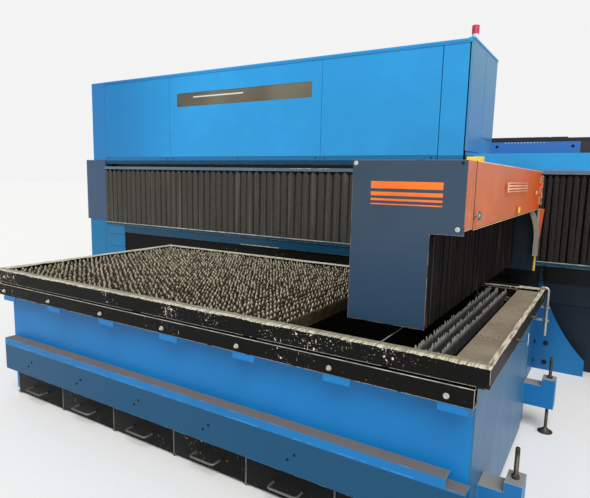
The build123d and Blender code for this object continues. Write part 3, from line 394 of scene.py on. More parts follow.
    def ragged_band(self) -> None:
        """Mask what lies above a height, with a torn lower edge."""
        bench = self.bench
        fine = bench.noise(self.scale, 6.0, (1.0, 1.0, 0.4))
        tear = bench.remap(bench.plus(fine, bench.noise(5.0, 2.0)), 0.86, 1.2, "LINEAR")
        loss = bench.times(tear, self.given["Reach"])
        self.give(self.peaks(bench.along(Axis.Z), start=self.given["Level"], loss=loss, width=0.0015))

    def grain(self) -> None:
        """Lay out the fine relief of a sprayed or moulded surface."""
        self.give(self.bench.noise(self.scale, 3.0))

    def draw_lines(self) -> None:
        """Lay out the long fine lines of rolled or ground metal."""
        self.give(self.bench.remap(self.bench.noise(self.scale, 5.0, (0.5, 12.0, 12.0)), 0.3, 0.7))


class MaterialBench(NodeBench):
    """A bench for a material's own tree, which has only its shader at first."""

    def __init__(self, name: str) -> None:
        """Start a material.

        Args:
            name: The material's name.
        """
        self.material = bpy.data.materials.new(name)
        self.material.use_nodes = True
        super().__init__(self.material.node_tree)
        self.shader = self.tree.nodes["Principled BSDF"]

    def shade(self, inputs: dict[str, object]) -> None:
        """Feed the shader's inputs, by name."""
        for key, value in inputs.items():
            self.feed(self.shader.inputs[key], value)

    def relief(self, height: Socket, depth: float) -> None:
        """Give the shader relief, from a height of 0 to 1 and a depth in metres."""
        self.shade({"Normal": self.add("ShaderNodeBump", {"Height": height, "Distance": depth}).outputs[0]})

    def group(self, name: str, **inputs: object) -> Socket:
        """Place a shared group."""
        return GroupShelf.use(self, name, **inputs)

    def inside(self, room: Room) -> Socket:
        """Mask the surfaces that lie in a room.

        Args:
            room: The room.

        Returns:
            1 inside the room and 0 outside.
        """
        parts = self.add("ShaderNodeSeparateXYZ", {0: self.place()}).outputs
        mask: object = 1.0
        for part, low, high in zip(parts, room.low, room.high):
            between = self.times(self.calc("GREATER_THAN", part, low), self.calc("LESS_THAN", part, high))
            mask = self.times(between, mask)
        return mask


@dataclass(frozen=True)
class PaintFinish:
    """Sprayed paint on metal, with its wear and dust."""

    colour: Colour
    roughness: float = 0.42
    tone: float = 0.07
    tone_scale: float = 0.9
    wear: float = 0.25
    wear_reach: float = 0.004
    wear_colour: Colour = (0.45, 0.45, 0.43)
    dust: float = 0.35
    dust_colour: Colour = (0.33, 0.30, 0.26)
    scratch: float = 0.15
    scratch_colour: Colour = (0.55, 0.58, 0.6)
    chips: float = 0.0
    chip_colour: Colour = (0.6, 0.58, 0.5)
    stretch: Stretch | None = None
    rooms: tuple[Room, ...] = ()
    shine: float = 0.3
    grain_depth: float = 0.00012

    def coat(self, bench: MaterialBench) -> tuple[Socket, Socket]:
        """Lay the paint with its stretch and rooms, which mostly carry painted shade, and its wear and dust.

        Args:
            bench: The material's bench.

        Returns:
            The colour and the roughness.
        """
        tone = bench.group("mottle", scale=self.tone_scale)
        colour = bench.vary(tone, self.colour, 1.0 - self.tone, 1.0 + self.tone)
        if self.stretch:
            reach = bench.remap(bench.along(self.stretch.axis), self.stretch.start, self.stretch.end)
            colour = bench.mix(reach, colour, self.stretch.colour)
        for room in self.rooms:
            colour = bench.mix(bench.inside(room), colour, room.colour)
        lines = bench.group("scratches", scale=5.0, share=self.scratch)
        colour = bench.mix(bench.times(lines, 0.6), colour, self.scratch_colour)
        dust = bench.group("settled_dust", share=self.dust, scale=5.0)
        colour = bench.mix(bench.times(dust, 0.85), colour, self.dust_colour)
        if self.chips > 0.0:
            colour = bench.mix(bench.group("chips", scale=60.0, share=self.chips), colour, self.chip_colour)
        worn = bench.group("edge_wear", reach=self.wear_reach, share=self.wear, scale=16.0)
        rough = bench.calc("MULTIPLY_ADD", tone, 0.08, self.roughness)
        rough = bench.calc("ADD", rough, bench.times(dust, 0.35), clamp=True)
        return bench.mix(worn, colour, self.wear_colour), rough

    def lay(self, bench: MaterialBench) -> None:
        """Lay out the material.

        Args:
            bench: Its bench.
        """
        colour, rough = self.coat(bench)
        bench.shade({"Specular IOR Level": self.shine, "Base Color": colour, "Roughness": rough})
        bench.relief(bench.group("grain", scale=260.0), self.grain_depth)


@dataclass(frozen=True)
class BareTopFinish:
    """Black paint that is scraped to bare steel along the top of a frame."""

    paint: PaintFinish
    level: float
    dusty_room: Room
    reach: float = 0.006
    stroke_angle: float = 34.0
    stroke_scale: Point = (120.0, 9.0, 30.0)
    steel: Colour = srgb(214, 207, 186)
    stain: Colour = srgb(150, 142, 118)

    def lay(self, bench: MaterialBench) -> None:
        """Lay out the material.

        Args:
            bench: Its bench.
        """
        colour, rough = self.paint.coat(bench)
        band = bench.group("ragged_band", level=self.level, reach=self.reach, scale=80.0)
        strokes = bench.noise(1.0, 3.0, self.stroke_scale, (0.0, 0.0, math.radians(self.stroke_angle)))
        steel = bench.mix(bench.remap(strokes, 0.38, 0.56), self.stain, self.steel)
        steel = bench.mix(bench.times(bench.inside(self.dusty_room), 0.75), steel, self.dusty_room.colour)
        colour = bench.mix(band, colour, steel)
        bench.shade({"Specular IOR Level": self.paint.shine, "Base Color": colour, "Roughness": rough})
        bench.relief(strokes, 0.00025)


@dataclass(frozen=True)
class SteelFinish:
    """Bare or plated metal with draw lines, stains and dust."""

    colour: Colour
    stain: Colour
    roughness: float = 0.45
    metallic: float = 0.75
    lines: float = 30.0
    stain_scale: float = 8.0
    tip_level: float | None = None
    tip_depth: float = 0.03
    tip_colour: Colour = (0.5, 0.46, 0.38)
    speckle: float = 0.0
    relief: float = 0.0002

    def lay(self, bench: MaterialBench) -> None:
        """Lay out the material.

        Args:
            bench: Its bench.
        """
        colour = bench.vary(bench.group("draw_lines", scale=self.lines), self.colour, 0.86, 1.1)
        stains = bench.group("mottle", scale=self.stain_scale)
        colour = bench.mix(bench.times(stains, 0.7), colour, self.stain)
        if self.tip_level is not None:
            height = bench.minus(bench.along(Axis.Z), 0.005)
            height = bench.calc("MULTIPLY_ADD", bench.noise(90.0, 3.0), 0.016, height)
            tip = bench.remap(height, self.tip_level - self.tip_depth, self.tip_level)
            colour = bench.mix(tip, colour, self.tip_colour)
        if self.speckle > 0.0:
            dots = bench.group("speckle", scale=70.0, share=self.speckle)
            colour = bench.mix(dots, colour, scaled(self.stain, 0.3))
        rough = bench.calc("MULTIPLY_ADD", stains, 0.25, self.roughness)
        bench.shade({"Metallic": self.metallic, "Specular IOR Level": 0.3, "Base Color": colour, "Roughness": rough})
        bench.relief(bench.group("grain", scale=180.0), self.relief)


@dataclass(frozen=True)
class PlasticFinish:
    """Moulded plastic or rubber."""

    colour: Colour
    roughness: float = 0.5
    dust: float = 0.3
    dust_colour: Colour = (0.3, 0.28, 0.25)

    def lay(self, bench: MaterialBench) -> None:
        """Lay out the material.

        Args:
            bench: Its bench.
        """
        tone = bench.group("mottle", scale=3.0)
        dust = bench.group("settled_dust", share=self.dust, scale=9.0)
        colour = bench.mix(dust, bench.vary(tone, self.colour, 0.85, 1.2), self.dust_colour)
        bench.shade({"Base Color": colour, "Roughness": bench.calc("MULTIPLY_ADD", tone, 0.12, self.roughness)})
        bench.relief(bench.group("grain", scale=700.0), 0.0001)


@dataclass(frozen=True)
class ClothFinish:
    """Coated bellows cloth, dusty on its ridges and along its height, with painted shade in its valleys."""

    colour: Colour
    ridge_colour: Colour
    ridge_axis: Axis
    ridge: float
    valley: float
    middle: float | None = None
    streak: float = 26.0
    rubbed: float = 0.5
    weave: float = 0.6
    roughness: float = 0.62
    shine: float = 0.15

    def lay(self, bench: MaterialBench) -> None:
        """Lay out the material.

        Args:
            bench: Its bench.
        """
        place = bench.along(self.ridge_axis)
        if self.middle is not None:
            place = bench.calc("ABSOLUTE", bench.minus(place, self.middle))
        ridge = bench.remap(place, self.valley, self.ridge)
        streaks = bench.remap(bench.noise(self.streak, 5.0, (1.0, 1.0, 0.03)), self.rubbed, 0.72)
        weave = bench.times(bench.remap(bench.noise(75.0, 5.0), 0.4, 0.66), self.weave)
        # Painted shade: the valleys fall to 0.45 of the cloth's colour.
        colour = bench.mix(weave, bench.vary(ridge, self.colour, 0.45, 1.0), scaled(self.ridge_colour, 0.85))
        cloud = bench.calc("ADD", bench.group("mottle", scale=2.2), 0.3, clamp=True)
        colour = bench.mix(bench.times(bench.times(ridge, streaks), cloud), colour, self.ridge_colour)
        dots = bench.times(bench.group("speckle", scale=90.0, share=0.16), 0.5)
        colour = bench.mix(dots, colour, self.ridge_colour)
        rough = bench.calc("MULTIPLY_ADD", streaks, 0.2, self.roughness)
        bench.shade({"Specular IOR Level": self.shine, "Base Color": colour, "Roughness": rough})
        bench.relief(bench.cells(900.0), 0.0003)


@dataclass(frozen=True)
class PaneFinish:
    """Smoked see-through pane with a line of glare."""

    glare: Room
    colour: Colour = srgb(112, 106, 90)
    roughness: float = 0.08
    opacity: float = 0.72

    def lay(self, bench: MaterialBench) -> None:
        """Lay out the material.

        Args:
            bench: Its bench.
        """
        film = bench.remap(bench.noise(1.3, 1.0), 0.3, 0.7)
        colour = bench.mix(bench.inside(self.glare), bench.vary(film, self.colour, 0.62, 1.15), self.glare.colour)
        rough = bench.calc("MULTIPLY_ADD", film, 0.1, self.roughness)
        alpha = bench.calc("MULTIPLY_ADD", film, 0.2, self.opacity)
        bench.shade({"Base Color": colour, "Roughness": rough, "Alpha": alpha})


@dataclass(frozen=True)
class LensFinish:
    """Coloured moulded lens."""

    colour: Colour = srgb(200, 52, 74)
    roughness: float = 0.22
    depth: Point = (0.02, 0.004, 0.004)

    def lay(self, bench: MaterialBench) -> None:
        """Lay out the material.

        Args:
            bench: Its bench.
        """
        tone = bench.group("mottle", scale=40.0)
        rough = bench.calc("MULTIPLY_ADD", tone, 0.15, self.roughness)
        bench.shade({"Subsurface Weight": 0.15, "Subsurface Radius": self.depth, "Roughness": rough})
        bench.shade({"Base Color": bench.vary(tone, self.colour, 0.85, 1.15)})


Finish = PaintFinish | BareTopFinish | SteelFinish | PlasticFinish | ClothFinish | PaneFinish | LensFinish


class FinishBook:
    """Every finish of the machine, made into a material when it is first asked for."""

    def __init__(self) -> None:
        """Write down the finishes."""
        self.finishes: dict[str, Finish] = {
            **self.blue_paints(), **self.other_paints(), **self.black_frame_and_slats(), **self.metals(),
            **self.cloths(), **self.plastics(),
        }
        self.materials: dict[str, bpy.types.Material] = {}

    @staticmethod
    def blue_paints() -> dict[str, Finish]:
        """Write down the blue paints, with rooms of painted shade on the tub's side and top rim, the right leg, the
        panels' lower fold and the housing's left end, and rooms that make the tub's and the trough's insides near
        black and the trough's end grey.

        Returns:
            Finishes by name.
        """
        tub_low, tub_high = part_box("base_tub")
        leg_low, leg_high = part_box("right_leg")
        panel_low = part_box("front_panel_left")[0]
        # Painted shade: the tub's right side plate takes a greyer, darker blue than its front, for the light that
        # falls on that side.
        tub_side_shade = Room((2.1216, -2.0, 0.0), (2.14, 0.0, 1.0), srgb(48, 99, 136))
        tub_inside = Room((-1.049, -1.709, 0.0), (2.1215, tub_high.y, tub_high.z + 0.001), srgb(15, 12, 10))
        # Painted shadow: a near-black band round the top of the tub, under the frame's overhang.
        flange_shadow_low = (tub_low.x - 0.1, tub_low.y - 0.1, tub_high.z - 0.014)
        flange_shadow = Room(flange_shadow_low, (tub_high.x + 0.1, tub_high.y + 0.1, tub_high.z + 0.01), srgb(10, 9, 8))
        # Painted shade on the right leg: near black on its upper part under the lower beam and the arm root, and dark
        # teal on its neck under the beam.
        leg_shade_low = (leg_low.x - 0.01, leg_low.y - 0.01, 0.66)
        leg_shade = Room(leg_shade_low, (2.0335, 1.109, leg_high.z + 0.01), srgb(6, 8, 11))
        leg_neck_shade = Room((2.0, 1.1, 0.76), (2.2, 1.3, 1.0), srgb(12, 58, 72))
        # Painted shade: the lower fold of the front panels, which turns back under, takes a darker blue.
        fold_shade_low = (-3.2, panel_low.y - 0.01, panel_low.z - 0.01)
        fold = Room(fold_shade_low, (1.5, panel_low.y + 0.02, panel_low.z + 0.0405), srgb(34, 108, 158))
        # Painted shade: the housing's left end, beyond the front panels, takes a darker blue.
        housing_end_shade = Room((-3.6, 0.0, 1.0), (panel_low.x - 0.002, 2.0, 2.9), srgb(34, 116, 176))
        trough_end = Room((2.202, 1.6, 1.8), (2.4, 1.9, 2.1), srgb(62, 58, 60))
        trough_inside = Room((-1.0, 1.6, 1.9765), (2.3, 1.9, 1.99), srgb(14, 20, 40))
        base = PaintFinish(
            srgb(6, 112, 178), 0.36, wear=0.1, dust=0.5, dust_colour=srgb(104, 98, 88), scratch=0.12,
            scratch_colour=srgb(110, 170, 210), rooms=(tub_side_shade, tub_inside, flange_shadow),
        )
        # Painted shade: the skirt below the ledge takes a darker blue.
        lower = PaintFinish(
            srgb(10, 108, 170), 0.36, wear=0.5, wear_reach=0.003, wear_colour=srgb(96, 176, 220), dust=1.4,
            dust_colour=srgb(124, 106, 82), scratch=0.12, scratch_colour=srgb(100, 160, 200),
            stretch=Stretch(Axis.Z, 0.392, 0.386, srgb(3, 70, 106)),
        )
        # Painted shade: the housing blue darkens toward the left end.
        bright = PaintFinish(
            srgb(44, 156, 222), 0.34, tone_scale=0.6, wear=0.06, wear_colour=srgb(110, 190, 235), dust=0.2,
            scratch=0.05, stretch=Stretch(Axis.X, -1.4, -2.95, srgb(24, 120, 180)), rooms=(fold, housing_end_shade),
        )
        return {
            Slot.BASE_BLUE: base,
            Slot.LOWER_BLUE: lower,
            "bracket_blue": replace(
                lower, colour=srgb(10, 102, 160), wear=0.9, wear_colour=srgb(140, 190, 214), dust=1.5,
                dust_colour=srgb(150, 143, 128), stretch=None,
            ),
            Slot.BRIGHT_BLUE: bright,
            # Painted shade: the left column takes a darker copy of the housing blue.
            "column_shade_blue": replace(
                bright, colour=srgb(14, 104, 150), wear_colour=srgb(70, 150, 195), stretch=None, rooms=()
            ),
            # Painted light: the housing's right side takes a greyer blue than its front, the same paint lit from the
            # side, and a paler, greyer top as painted sheen.
            Slot.SIDE_BLUE: PaintFinish(
                srgb(72, 140, 190), 0.34, wear=0.1, wear_colour=srgb(130, 185, 225), scratch=0.1,
                stretch=Stretch(Axis.Z, 2.2, 2.7, srgb(92, 145, 176)),
            ),
            # Painted shade: the right leg darkens toward its left side.
            "leg_blue": PaintFinish(
                srgb(22, 104, 158), 0.36, wear=0.1, wear_colour=srgb(80, 160, 205), dust=0.3,
                scratch_colour=srgb(70, 150, 195), stretch=Stretch(Axis.X, 2.25, 2.05, srgb(16, 84, 134)),
                rooms=(leg_shade, leg_neck_shade),
            ),
            "trough_blue": PaintFinish(
                srgb(62, 124, 196), 0.38, wear=0.1, dust=0.2, scratch=0.1, rooms=(trough_end, trough_inside)
            ),
        }

    @staticmethod
    def other_paints() -> dict[str, Finish]:
        """Write down the dark, grey and orange paints.

        Returns:
            Finishes by name.
        """
        cabinet_low, cabinet_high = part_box("right_cabinet")
        # Painted shadow of the beam on the cabinet's upper band; the band below it is painted a paler navy.
        cabinet_shadow_and_pale_bands = tuple(
            Room((cabinet_low.x - 0.1, cabinet_low.y - 0.1, foot), (cabinet_high.x + 0.1, 1.6, top), tone)
            for foot, top, tone in ((0.735, 0.99, srgb(13, 18, 24)), (0.566, 0.735, srgb(30, 48, 62)))
        )
        door_rear = Room((2.0215, 0.69, 1.3), (2.07, 0.73, 1.75), srgb(104, 88, 78))
        root_side = Room((2.0303, 0.4, 1.0), (2.2, 0.8, 1.5), srgb(200, 84, 34))
        # Painted sheen: the orange is paler at the front and deepens toward the rear.
        orange = PaintFinish(
            srgb(210, 122, 84), 0.4, tone=0.05, tone_scale=2.0, wear=0.95, wear_reach=0.005,
            wear_colour=srgb(238, 186, 156), dust=0.3, dust_colour=srgb(210, 150, 120), scratch=0.25,
            scratch_colour=srgb(225, 165, 135), stretch=Stretch(Axis.Y, -0.9, 0.7, srgb(214, 92, 36)),
        )
        return {
            Slot.ORANGE_PAINT: orange,
            "door_orange": replace(
                orange, dust=0.2, scratch=0.3, scratch_colour=srgb(226, 160, 128), rooms=(door_rear,)
            ),
            "guard_grey": PaintFinish(
                srgb(128, 124, 112), 0.45, wear=0.2, dust=0.1, scratch=0.1,
                stretch=Stretch(Axis.Z, 1.07, 1.055, srgb(196, 168, 72)),
            ),
            # Painted shade: the lower rail is darkened to teal.
            "rail_slate": PaintFinish(
                srgb(92, 110, 128), 0.36, wear=0.8, wear_reach=0.003, wear_colour=srgb(196, 200, 196), dust=0.2,
                stretch=Stretch(Axis.Z, 1.3, 1.1, srgb(10, 54, 72)),
            ),
            "root_dark": PaintFinish(
                srgb(16, 30, 40), 0.4, wear=0.3, wear_reach=0.003, wear_colour=srgb(120, 130, 130), dust=0.2,
                rooms=(root_side,),
            ),
            # Painted shade: the beam's blue is darkened to teal, and to near black right of the arm root, where the
            # root shades it.
            Slot.SHADED_TEAL_PAINT: PaintFinish(
                srgb(8, 62, 90), 0.32, wear=0.7, wear_reach=0.003, wear_colour=srgb(150, 160, 150), dust=0.5,
                scratch=0.1, stretch=Stretch(Axis.X, 1.30, 1.45, srgb(6, 8, 12)),
            ),
            Slot.SLATE_PAINT: PaintFinish(
                srgb(58, 82, 108), 0.4, wear_reach=0.003, wear_colour=srgb(150, 120, 100), dust=0.4,
                dust_colour=srgb(110, 122, 134), scratch=0.22, scratch_colour=srgb(130, 145, 160),
            ),
            # Painted shade: the plate darkens toward its foot.
            "arm_plate": PaintFinish(
                srgb(50, 68, 86), tone=0.1, wear=0.7, wear_reach=0.003, wear_colour=srgb(196, 142, 108), scratch=0.3,
                scratch_colour=srgb(140, 155, 170), stretch=Stretch(Axis.Z, 1.5, 1.05, srgb(26, 58, 84)),
            ),
            Slot.NAVY_PAINT: PaintFinish(srgb(22, 36, 52), 0.36, wear=0.0, dust=0.5, scratch=0.1, rooms=cabinet_shadow_and_pale_bands),
            Slot.MATT_BLACK: PaintFinish(
                srgb(12, 11, 10), wear=0.35, wear_colour=srgb(110, 108, 100), dust=0.4, chips=0.4,
                chip_colour=srgb(140, 136, 124), scratch=0.3, scratch_colour=srgb(80, 78, 74), shine=0.12,
            ),
        }

    @staticmethod
    def black_frame_and_slats() -> dict[str, Finish]:
        """Write down the chipped black paints and the burnt steel of the slats, with a darker copy of it as painted
        shade for the loose slats in the well.

        Returns:
            Finishes by name.
        """
        low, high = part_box("table_frame")
        rear_top = Room((low.x, low.y + 0.027, high.z - 0.006), (high.x, low.y + 0.061, high.z + 0.002),
                        srgb(122, 116, 94))
        coat = PaintFinish(
            srgb(11, 10, 9), wear=0.8, wear_reach=0.005, wear_colour=srgb(196, 190, 172), dust=0.2,
            dust_colour=srgb(96, 88, 76), chips=0.62, chip_colour=srgb(214, 208, 190), scratch=0.5,
            scratch_colour=srgb(120, 114, 104), shine=0.12,
        )
        return {
            Slot.WORN_BLACK: replace(coat, chips=0.38),
            "frame_paint": BareTopFinish(coat, high.z - 0.002, rear_top),
            Slot.SLAG_STEEL: SteelFinish(
                srgb(84, 74, 56), srgb(40, 34, 25), 0.55, 0.3, stain_scale=24.0, tip_level=high.z - 0.002,
                tip_depth=0.022, tip_colour=srgb(222, 212, 186), relief=0.001,
            ),
            # Painted shade: a darker, greyer copy of the slat steel for the loose slats down in the well.
            "well_shade_steel": SteelFinish(
                srgb(76, 75, 72), srgb(38, 37, 35), 0.65, 0.2, stain_scale=24.0, tip_level=high.z - 0.004,
                tip_depth=0.04, tip_colour=srgb(138, 137, 130), relief=0.001,
            ),
        }

    @staticmethod
    def metals() -> dict[str, Finish]:
        """Write down the other bare and plated metals.

        Returns:
            Finishes by name.
        """
        return {
            Slot.DUSTY_STEEL: SteelFinish(
                srgb(150, 139, 120), srgb(122, 110, 92), 0.7, 0.1, stain_scale=5.0, speckle=0.05, relief=0.0004
            ),
            Slot.GREY_STEEL: SteelFinish(srgb(120, 120, 118), srgb(84, 80, 74), 0.5, 0.6),
            Slot.GROUND_STEEL: SteelFinish(srgb(168, 168, 168), srgb(120, 118, 112), 0.32, 0.9),
            Slot.PALE_ZINC: SteelFinish(srgb(206, 204, 196), srgb(168, 162, 148), 0.42, 0.45),
            Slot.CHROME_ROD: SteelFinish(srgb(172, 174, 172), srgb(104, 102, 96), 0.28, 0.9),
            Slot.COPPER_TIP: SteelFinish(srgb(186, 116, 74), srgb(110, 70, 50), 0.35, 0.95),
            # Rubbed bright edges, and the painted glints on the upper rail.
            "worn_and_glint_line": SteelFinish(srgb(206, 206, 192), srgb(96, 108, 108), 0.4, 0.3, stain_scale=16.0),
            "dark_screw": SteelFinish(srgb(40, 42, 46), srgb(24, 24, 26), 0.45, 0.7),
            "dark_thread": SteelFinish(srgb(96, 90, 80), srgb(44, 38, 30), 0.4, 0.8),
        }

    @staticmethod
    def cloths() -> dict[str, Finish]:
        """Write down the bellows cloths, whose dusty ridges lie at one side of each cover and whose valleys take
        painted shade; the right portal cover takes a darker copy as painted shade.

        Returns:
            Finishes by name.
        """
        left_low, left_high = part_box("x_bellows_left")
        right_low, right_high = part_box("x_bellows_right")
        tunnel_low, tunnel_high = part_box("y_bellows_rear")
        half = (tunnel_high.x - tunnel_low.x) / 2
        return {
            Slot.BELLOWS_CLOTH: ClothFinish(srgb(58, 57, 53), srgb(92, 88, 80), Axis.Y, left_low.y, left_high.y),
            # Painted shade: the right-hand portal cover takes a darker copy of the same cloth.
            "shaded_cloth": ClothFinish(srgb(27, 26, 25), srgb(56, 52, 48), Axis.Y, right_low.y, right_high.y),
            "tunnel_cloth": ClothFinish(
                srgb(13, 12, 12), srgb(74, 58, 42), Axis.X, half, half - 0.025,
                middle=(tunnel_low.x + tunnel_high.x) / 2, streak=60.0, rubbed=0.57, weave=0.06, shine=0.1,
            ),
        }

    @staticmethod
    def plastics() -> dict[str, Finish]:
        """Write down the pane, the lens and the plastics.

        Returns:
            Finishes by name.
        """
        glare = Room((-1.574, 0.7, 2.464), (-0.877, 0.9, 2.477), srgb(236, 238, 230))
        return {
            Slot.SMOKED_PANE: PaneFinish(glare),
            Slot.RED_LENS: LensFinish(),
            Slot.BLACK_PLASTIC: PlasticFinish(srgb(30, 30, 31), 0.5, 0.6),
            Slot.GREY_PLASTIC: PlasticFinish(srgb(142, 148, 146), 0.45),
            # Dark joints, and the painted-shade plate beside the cabinet.
            "dark_seam_and_shade": PlasticFinish(srgb(20, 26, 34), 0.6, 0.0),
            "yellow_plate": PlasticFinish(srgb(240, 208, 62), 0.45, 0.1),
            "decal_orange": PlasticFinish(srgb(240, 110, 24), 0.4, 0.0),
            "pale_peach": PlasticFinish(srgb(240, 190, 160), 0.45, 0.0),
            "white_strip": PlasticFinish(srgb(206, 208, 202), 0.4, 0.0),
        }

    def material(self, name: str) -> bpy.types.Material:
        """Give a finish's material, and build it the first time.

        Args:
            name: The finish's name.

        Returns:
            The material.
        """
        if name not in self.materials:
            bench = MaterialBench(name)
            self.finishes[name].lay(bench)
            self.materials[name] = bench.material
        return self.materials[name]


def show(name: str, data: bpy.types.ID) -> bpy.types.Object:
    """Make an object of some data and put it in the scene.

    Args:
        name: The object's name.
        data: Its mesh, lamp or camera.

    Returns:
        The object.
    """
    made = bpy.data.objects.new(name, data)
    bpy.context.scene.collection.objects.link(made)
    return made


class Stock:
    """A growing mesh that becomes one piece of the machine."""

    def __init__(self) -> None:
        """Start with an empty mesh."""
        self.mesh = bmesh.new()

    def absorb(self, corners: Iterable[Sequence[float]], faces: Iterable[Sequence[int]]) -> None:
        """Add corners and faces.

        Args:
            corners: New corners.
            faces: Faces, by the new corners' numbers.
        """
        made = [self.mesh.verts.new(corner) for corner in corners]
        for face in faces:
            self.mesh.faces.new([made[index] for index in face])

    def block(self, low: Sequence[float], high: Sequence[float], bevel: float = 0.002) -> None:
        """Add a block with rounded edges.

        Args:
            low: Lowest corner.
            high: Highest corner.
            bevel: Width of the rounding.
        """
        size = Vector(high) - Vector(low)
        matrix = Matrix.Translation((Vector(low) + Vector(high)) / 2) @ Matrix.Diagonal((*size, 1.0))
        made = bmesh.ops.create_cube(self.mesh, size=1.0, matrix=matrix)["verts"]
        edges = list(dict.fromkeys(edge for vert in made for edge in vert.link_edges))
        width = min(bevel, min(size) * 0.3)
        bmesh.ops.bevel(self.mesh, geom=edges, offset=width, segments=2, affect="EDGES", profile=0.6)

    def sleeve(self, rings: Sequence[Sequence[Vector]]) -> None:
        """Join rings of corners into a tube with closed ends.

        Args:
            rings: The rings, all with the same number of corners.
        """
        sides = len(rings[0])
        last = (len(rings) - 1) * sides
        faces = [
            [ring + step, ring + (step + 1) % sides, ring + sides + (step + 1) % sides, ring + sides + step]
            for ring in range(0, last, sides)
            for step in range(sides)
        ]
        faces += [list(reversed(range(sides))), list(range(last, last + sides))]
        self.absorb([corner for ring in rings for corner in ring], faces)

    def turned(self, profile: Profile, foot: Sequence[float], along: Point, sides: int = 24) -> None:
        """Add a turned form with closed ends.

        Args:
            profile: Pairs of radius and height above the foot.
            foot: Where the axis starts.
            along: The axis's direction.
            sides: Segments round the axis.
        """
        turn = Vector(UP).rotation_difference(Vector(along)).to_matrix()
        angles = [math.tau * step / sides for step in range(sides)]
        self.sleeve([
            [
                Vector(foot) + turn @ Vector((radius * math.cos(angle), radius * math.sin(angle), height))
                for angle in angles
            ]
            for radius, height in profile
        ])

    def hexagon(self, foot: Sequence[float], along: Point, radius: float, height: float) -> None:
        """Add a hexagon head with a crowned top.

        Args:
            foot: Middle of its seat.
            along: The way it points.
            radius: From the middle to a corner.
            height: Its height.
        """
        self.turned([(radius, 0.0), (radius, height * 0.8), (radius * 0.82, height)], foot, along, 6)

    def rod(self, points: Sequence[Point], radius: float, bend: float, sides: int = 12) -> None:
        """Add a bent round rod.

        Args:
            points: Corners of its middle line.
            radius: The rod's radius.
            bend: Radius of its bends.
            sides: Segments round the rod.
        """
        line = rounded_line([Vector(point) for point in points], bend)
        angles = [math.tau * step / sides for step in range(sides)]
        side = (line[1] - line[0]).orthogonal().normalized()
        rings = []
        for index, spot in enumerate(line):
            along = (line[min(index + 1, len(line) - 1)] - line[max(index - 1, 0)]).normalized()
            side = (side - along * side.dot(along)).normalized()
            over = along.cross(side)
            rings.append([spot + radius * (side * math.cos(angle) + over * math.sin(angle)) for angle in angles])
        self.sleeve(rings)

    def piece(self, name: str, material: bpy.types.Material, smooth: bool = True) -> bpy.types.Object:
        """Close the mesh and make the piece.

        Args:
            name: The piece's name.
            material: Its material.
            smooth: Whether shallow edges are shaded smooth.

        Returns:
            The new object.
        """
        bmesh.ops.recalc_face_normals(self.mesh, faces=self.mesh.faces[:])
        data = bpy.data.meshes.new(name)
        self.mesh.to_mesh(data)
        self.mesh.free()
        data.materials.append(material)
        if smooth:
            data.shade_smooth()
            data.set_sharp_from_angle(angle=math.radians(38))
        LOG.info("%s: %d faces", name, len(data.polygons))
        return show(name, data)


def rounded_line(corners: list[Vector], bend: float, steps: int = 6) -> list[Vector]:
    """Round the corners of a line.

    Args:
        corners: The line's corners.
        bend: Radius of each bend.
        steps: Pieces in each bend.

    Returns:
        Points along the rounded line.
    """
    line = [corners[0]]
    for before, corner, after in zip(corners, corners[1:], corners[2:]):
        into, out = (corner - before).normalized(), (after - corner).normalized()
        half = into.angle(out) / 2
        back = min(bend * math.tan(half), 0.45 * (corner - before).length, 0.45 * (after - corner).length)
        start, end = corner - into * back, corner + out * back
        for step in range(steps + 1):
            share = step / steps
            line.append(start.lerp(corner, share).lerp(corner.lerp(end, share), share))
    line.append(corners[-1])
    return line


def settle(made: bpy.types.Object, body: str, slot: Slot, *stands_for: str) -> bpy.types.Object:
    """Hang a piece on its body and hide the nodes that it stands for.

    Args:
        made: The piece.
        body: The body that it rides on.
        slot: Its material slot; not used.
        *stands_for: Nodes that it replaces.

    Returns:
        The piece.
    """
    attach(made, body)
    if stands_for:
        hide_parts(*stands_for)
    return made


def front_strips(face: float, rise: float, sink: float, *patches: Patch) -> list[Box]:
    """Give thin boxes on a face that looks at the operator, from spans along X and Z."""
    return [((x0, face - rise, z0), (x1, face + sink, z1)) for x0, x1, z0, z1 in patches]


def side_strips(face: float, rise: float, sink: float, *patches: Patch) -> list[Box]:
    """Give thin boxes on a face that looks along the portal, from spans along Y and Z."""
    return [((face - sink, y0, z0), (face + rise, y1, z1)) for y0, y1, z0, z1 in patches]


@dataclass
class PhotoCamera:
    """Camera that stands where the photograph was taken."""

    place: Point = (2.510, -3.740, 1.600)
    turn_left: float = 32.428
    tip_down: float = 8.232
    lean: float = 1.127
    focal_pixels: float = 518.7
    centre_x: float = 282.4
    centre_y: float = 252.4
    sensor: float = 36.0

    def build(self) -> None:
        """Make the camera and use it."""
        yaw, pitch, roll = (math.radians(angle) for angle in (self.turn_left, self.tip_down, self.lean))
        ahead = Vector((-math.sin(yaw) * math.cos(pitch), math.cos(yaw) * math.cos(pitch), -math.sin(pitch)))
        level_right = Vector((math.cos(yaw), math.sin(yaw), 0.0))
        level_up = level_right.cross(ahead)
        right = level_right * math.cos(roll) + level_up * math.sin(roll)
        up = level_up * math.cos(roll) - level_right * math.sin(roll)
        data = bpy.data.cameras.new("photo_camera")
        data.sensor_width = self.sensor
        data.lens = self.focal_pixels * self.sensor / PHOTO_WIDTH
        data.shift_x = (PHOTO_WIDTH / 2 - self.centre_x) / PHOTO_WIDTH
        data.shift_y = (self.centre_y - PHOTO_HEIGHT / 2) / PHOTO_WIDTH
        camera = show("photo_camera", data)
        matrix = Matrix((right, up, -ahead)).transposed().to_4x4()
        matrix.translation = Vector(self.place)
        camera.matrix_world = matrix
        bpy.context.scene.camera = camera


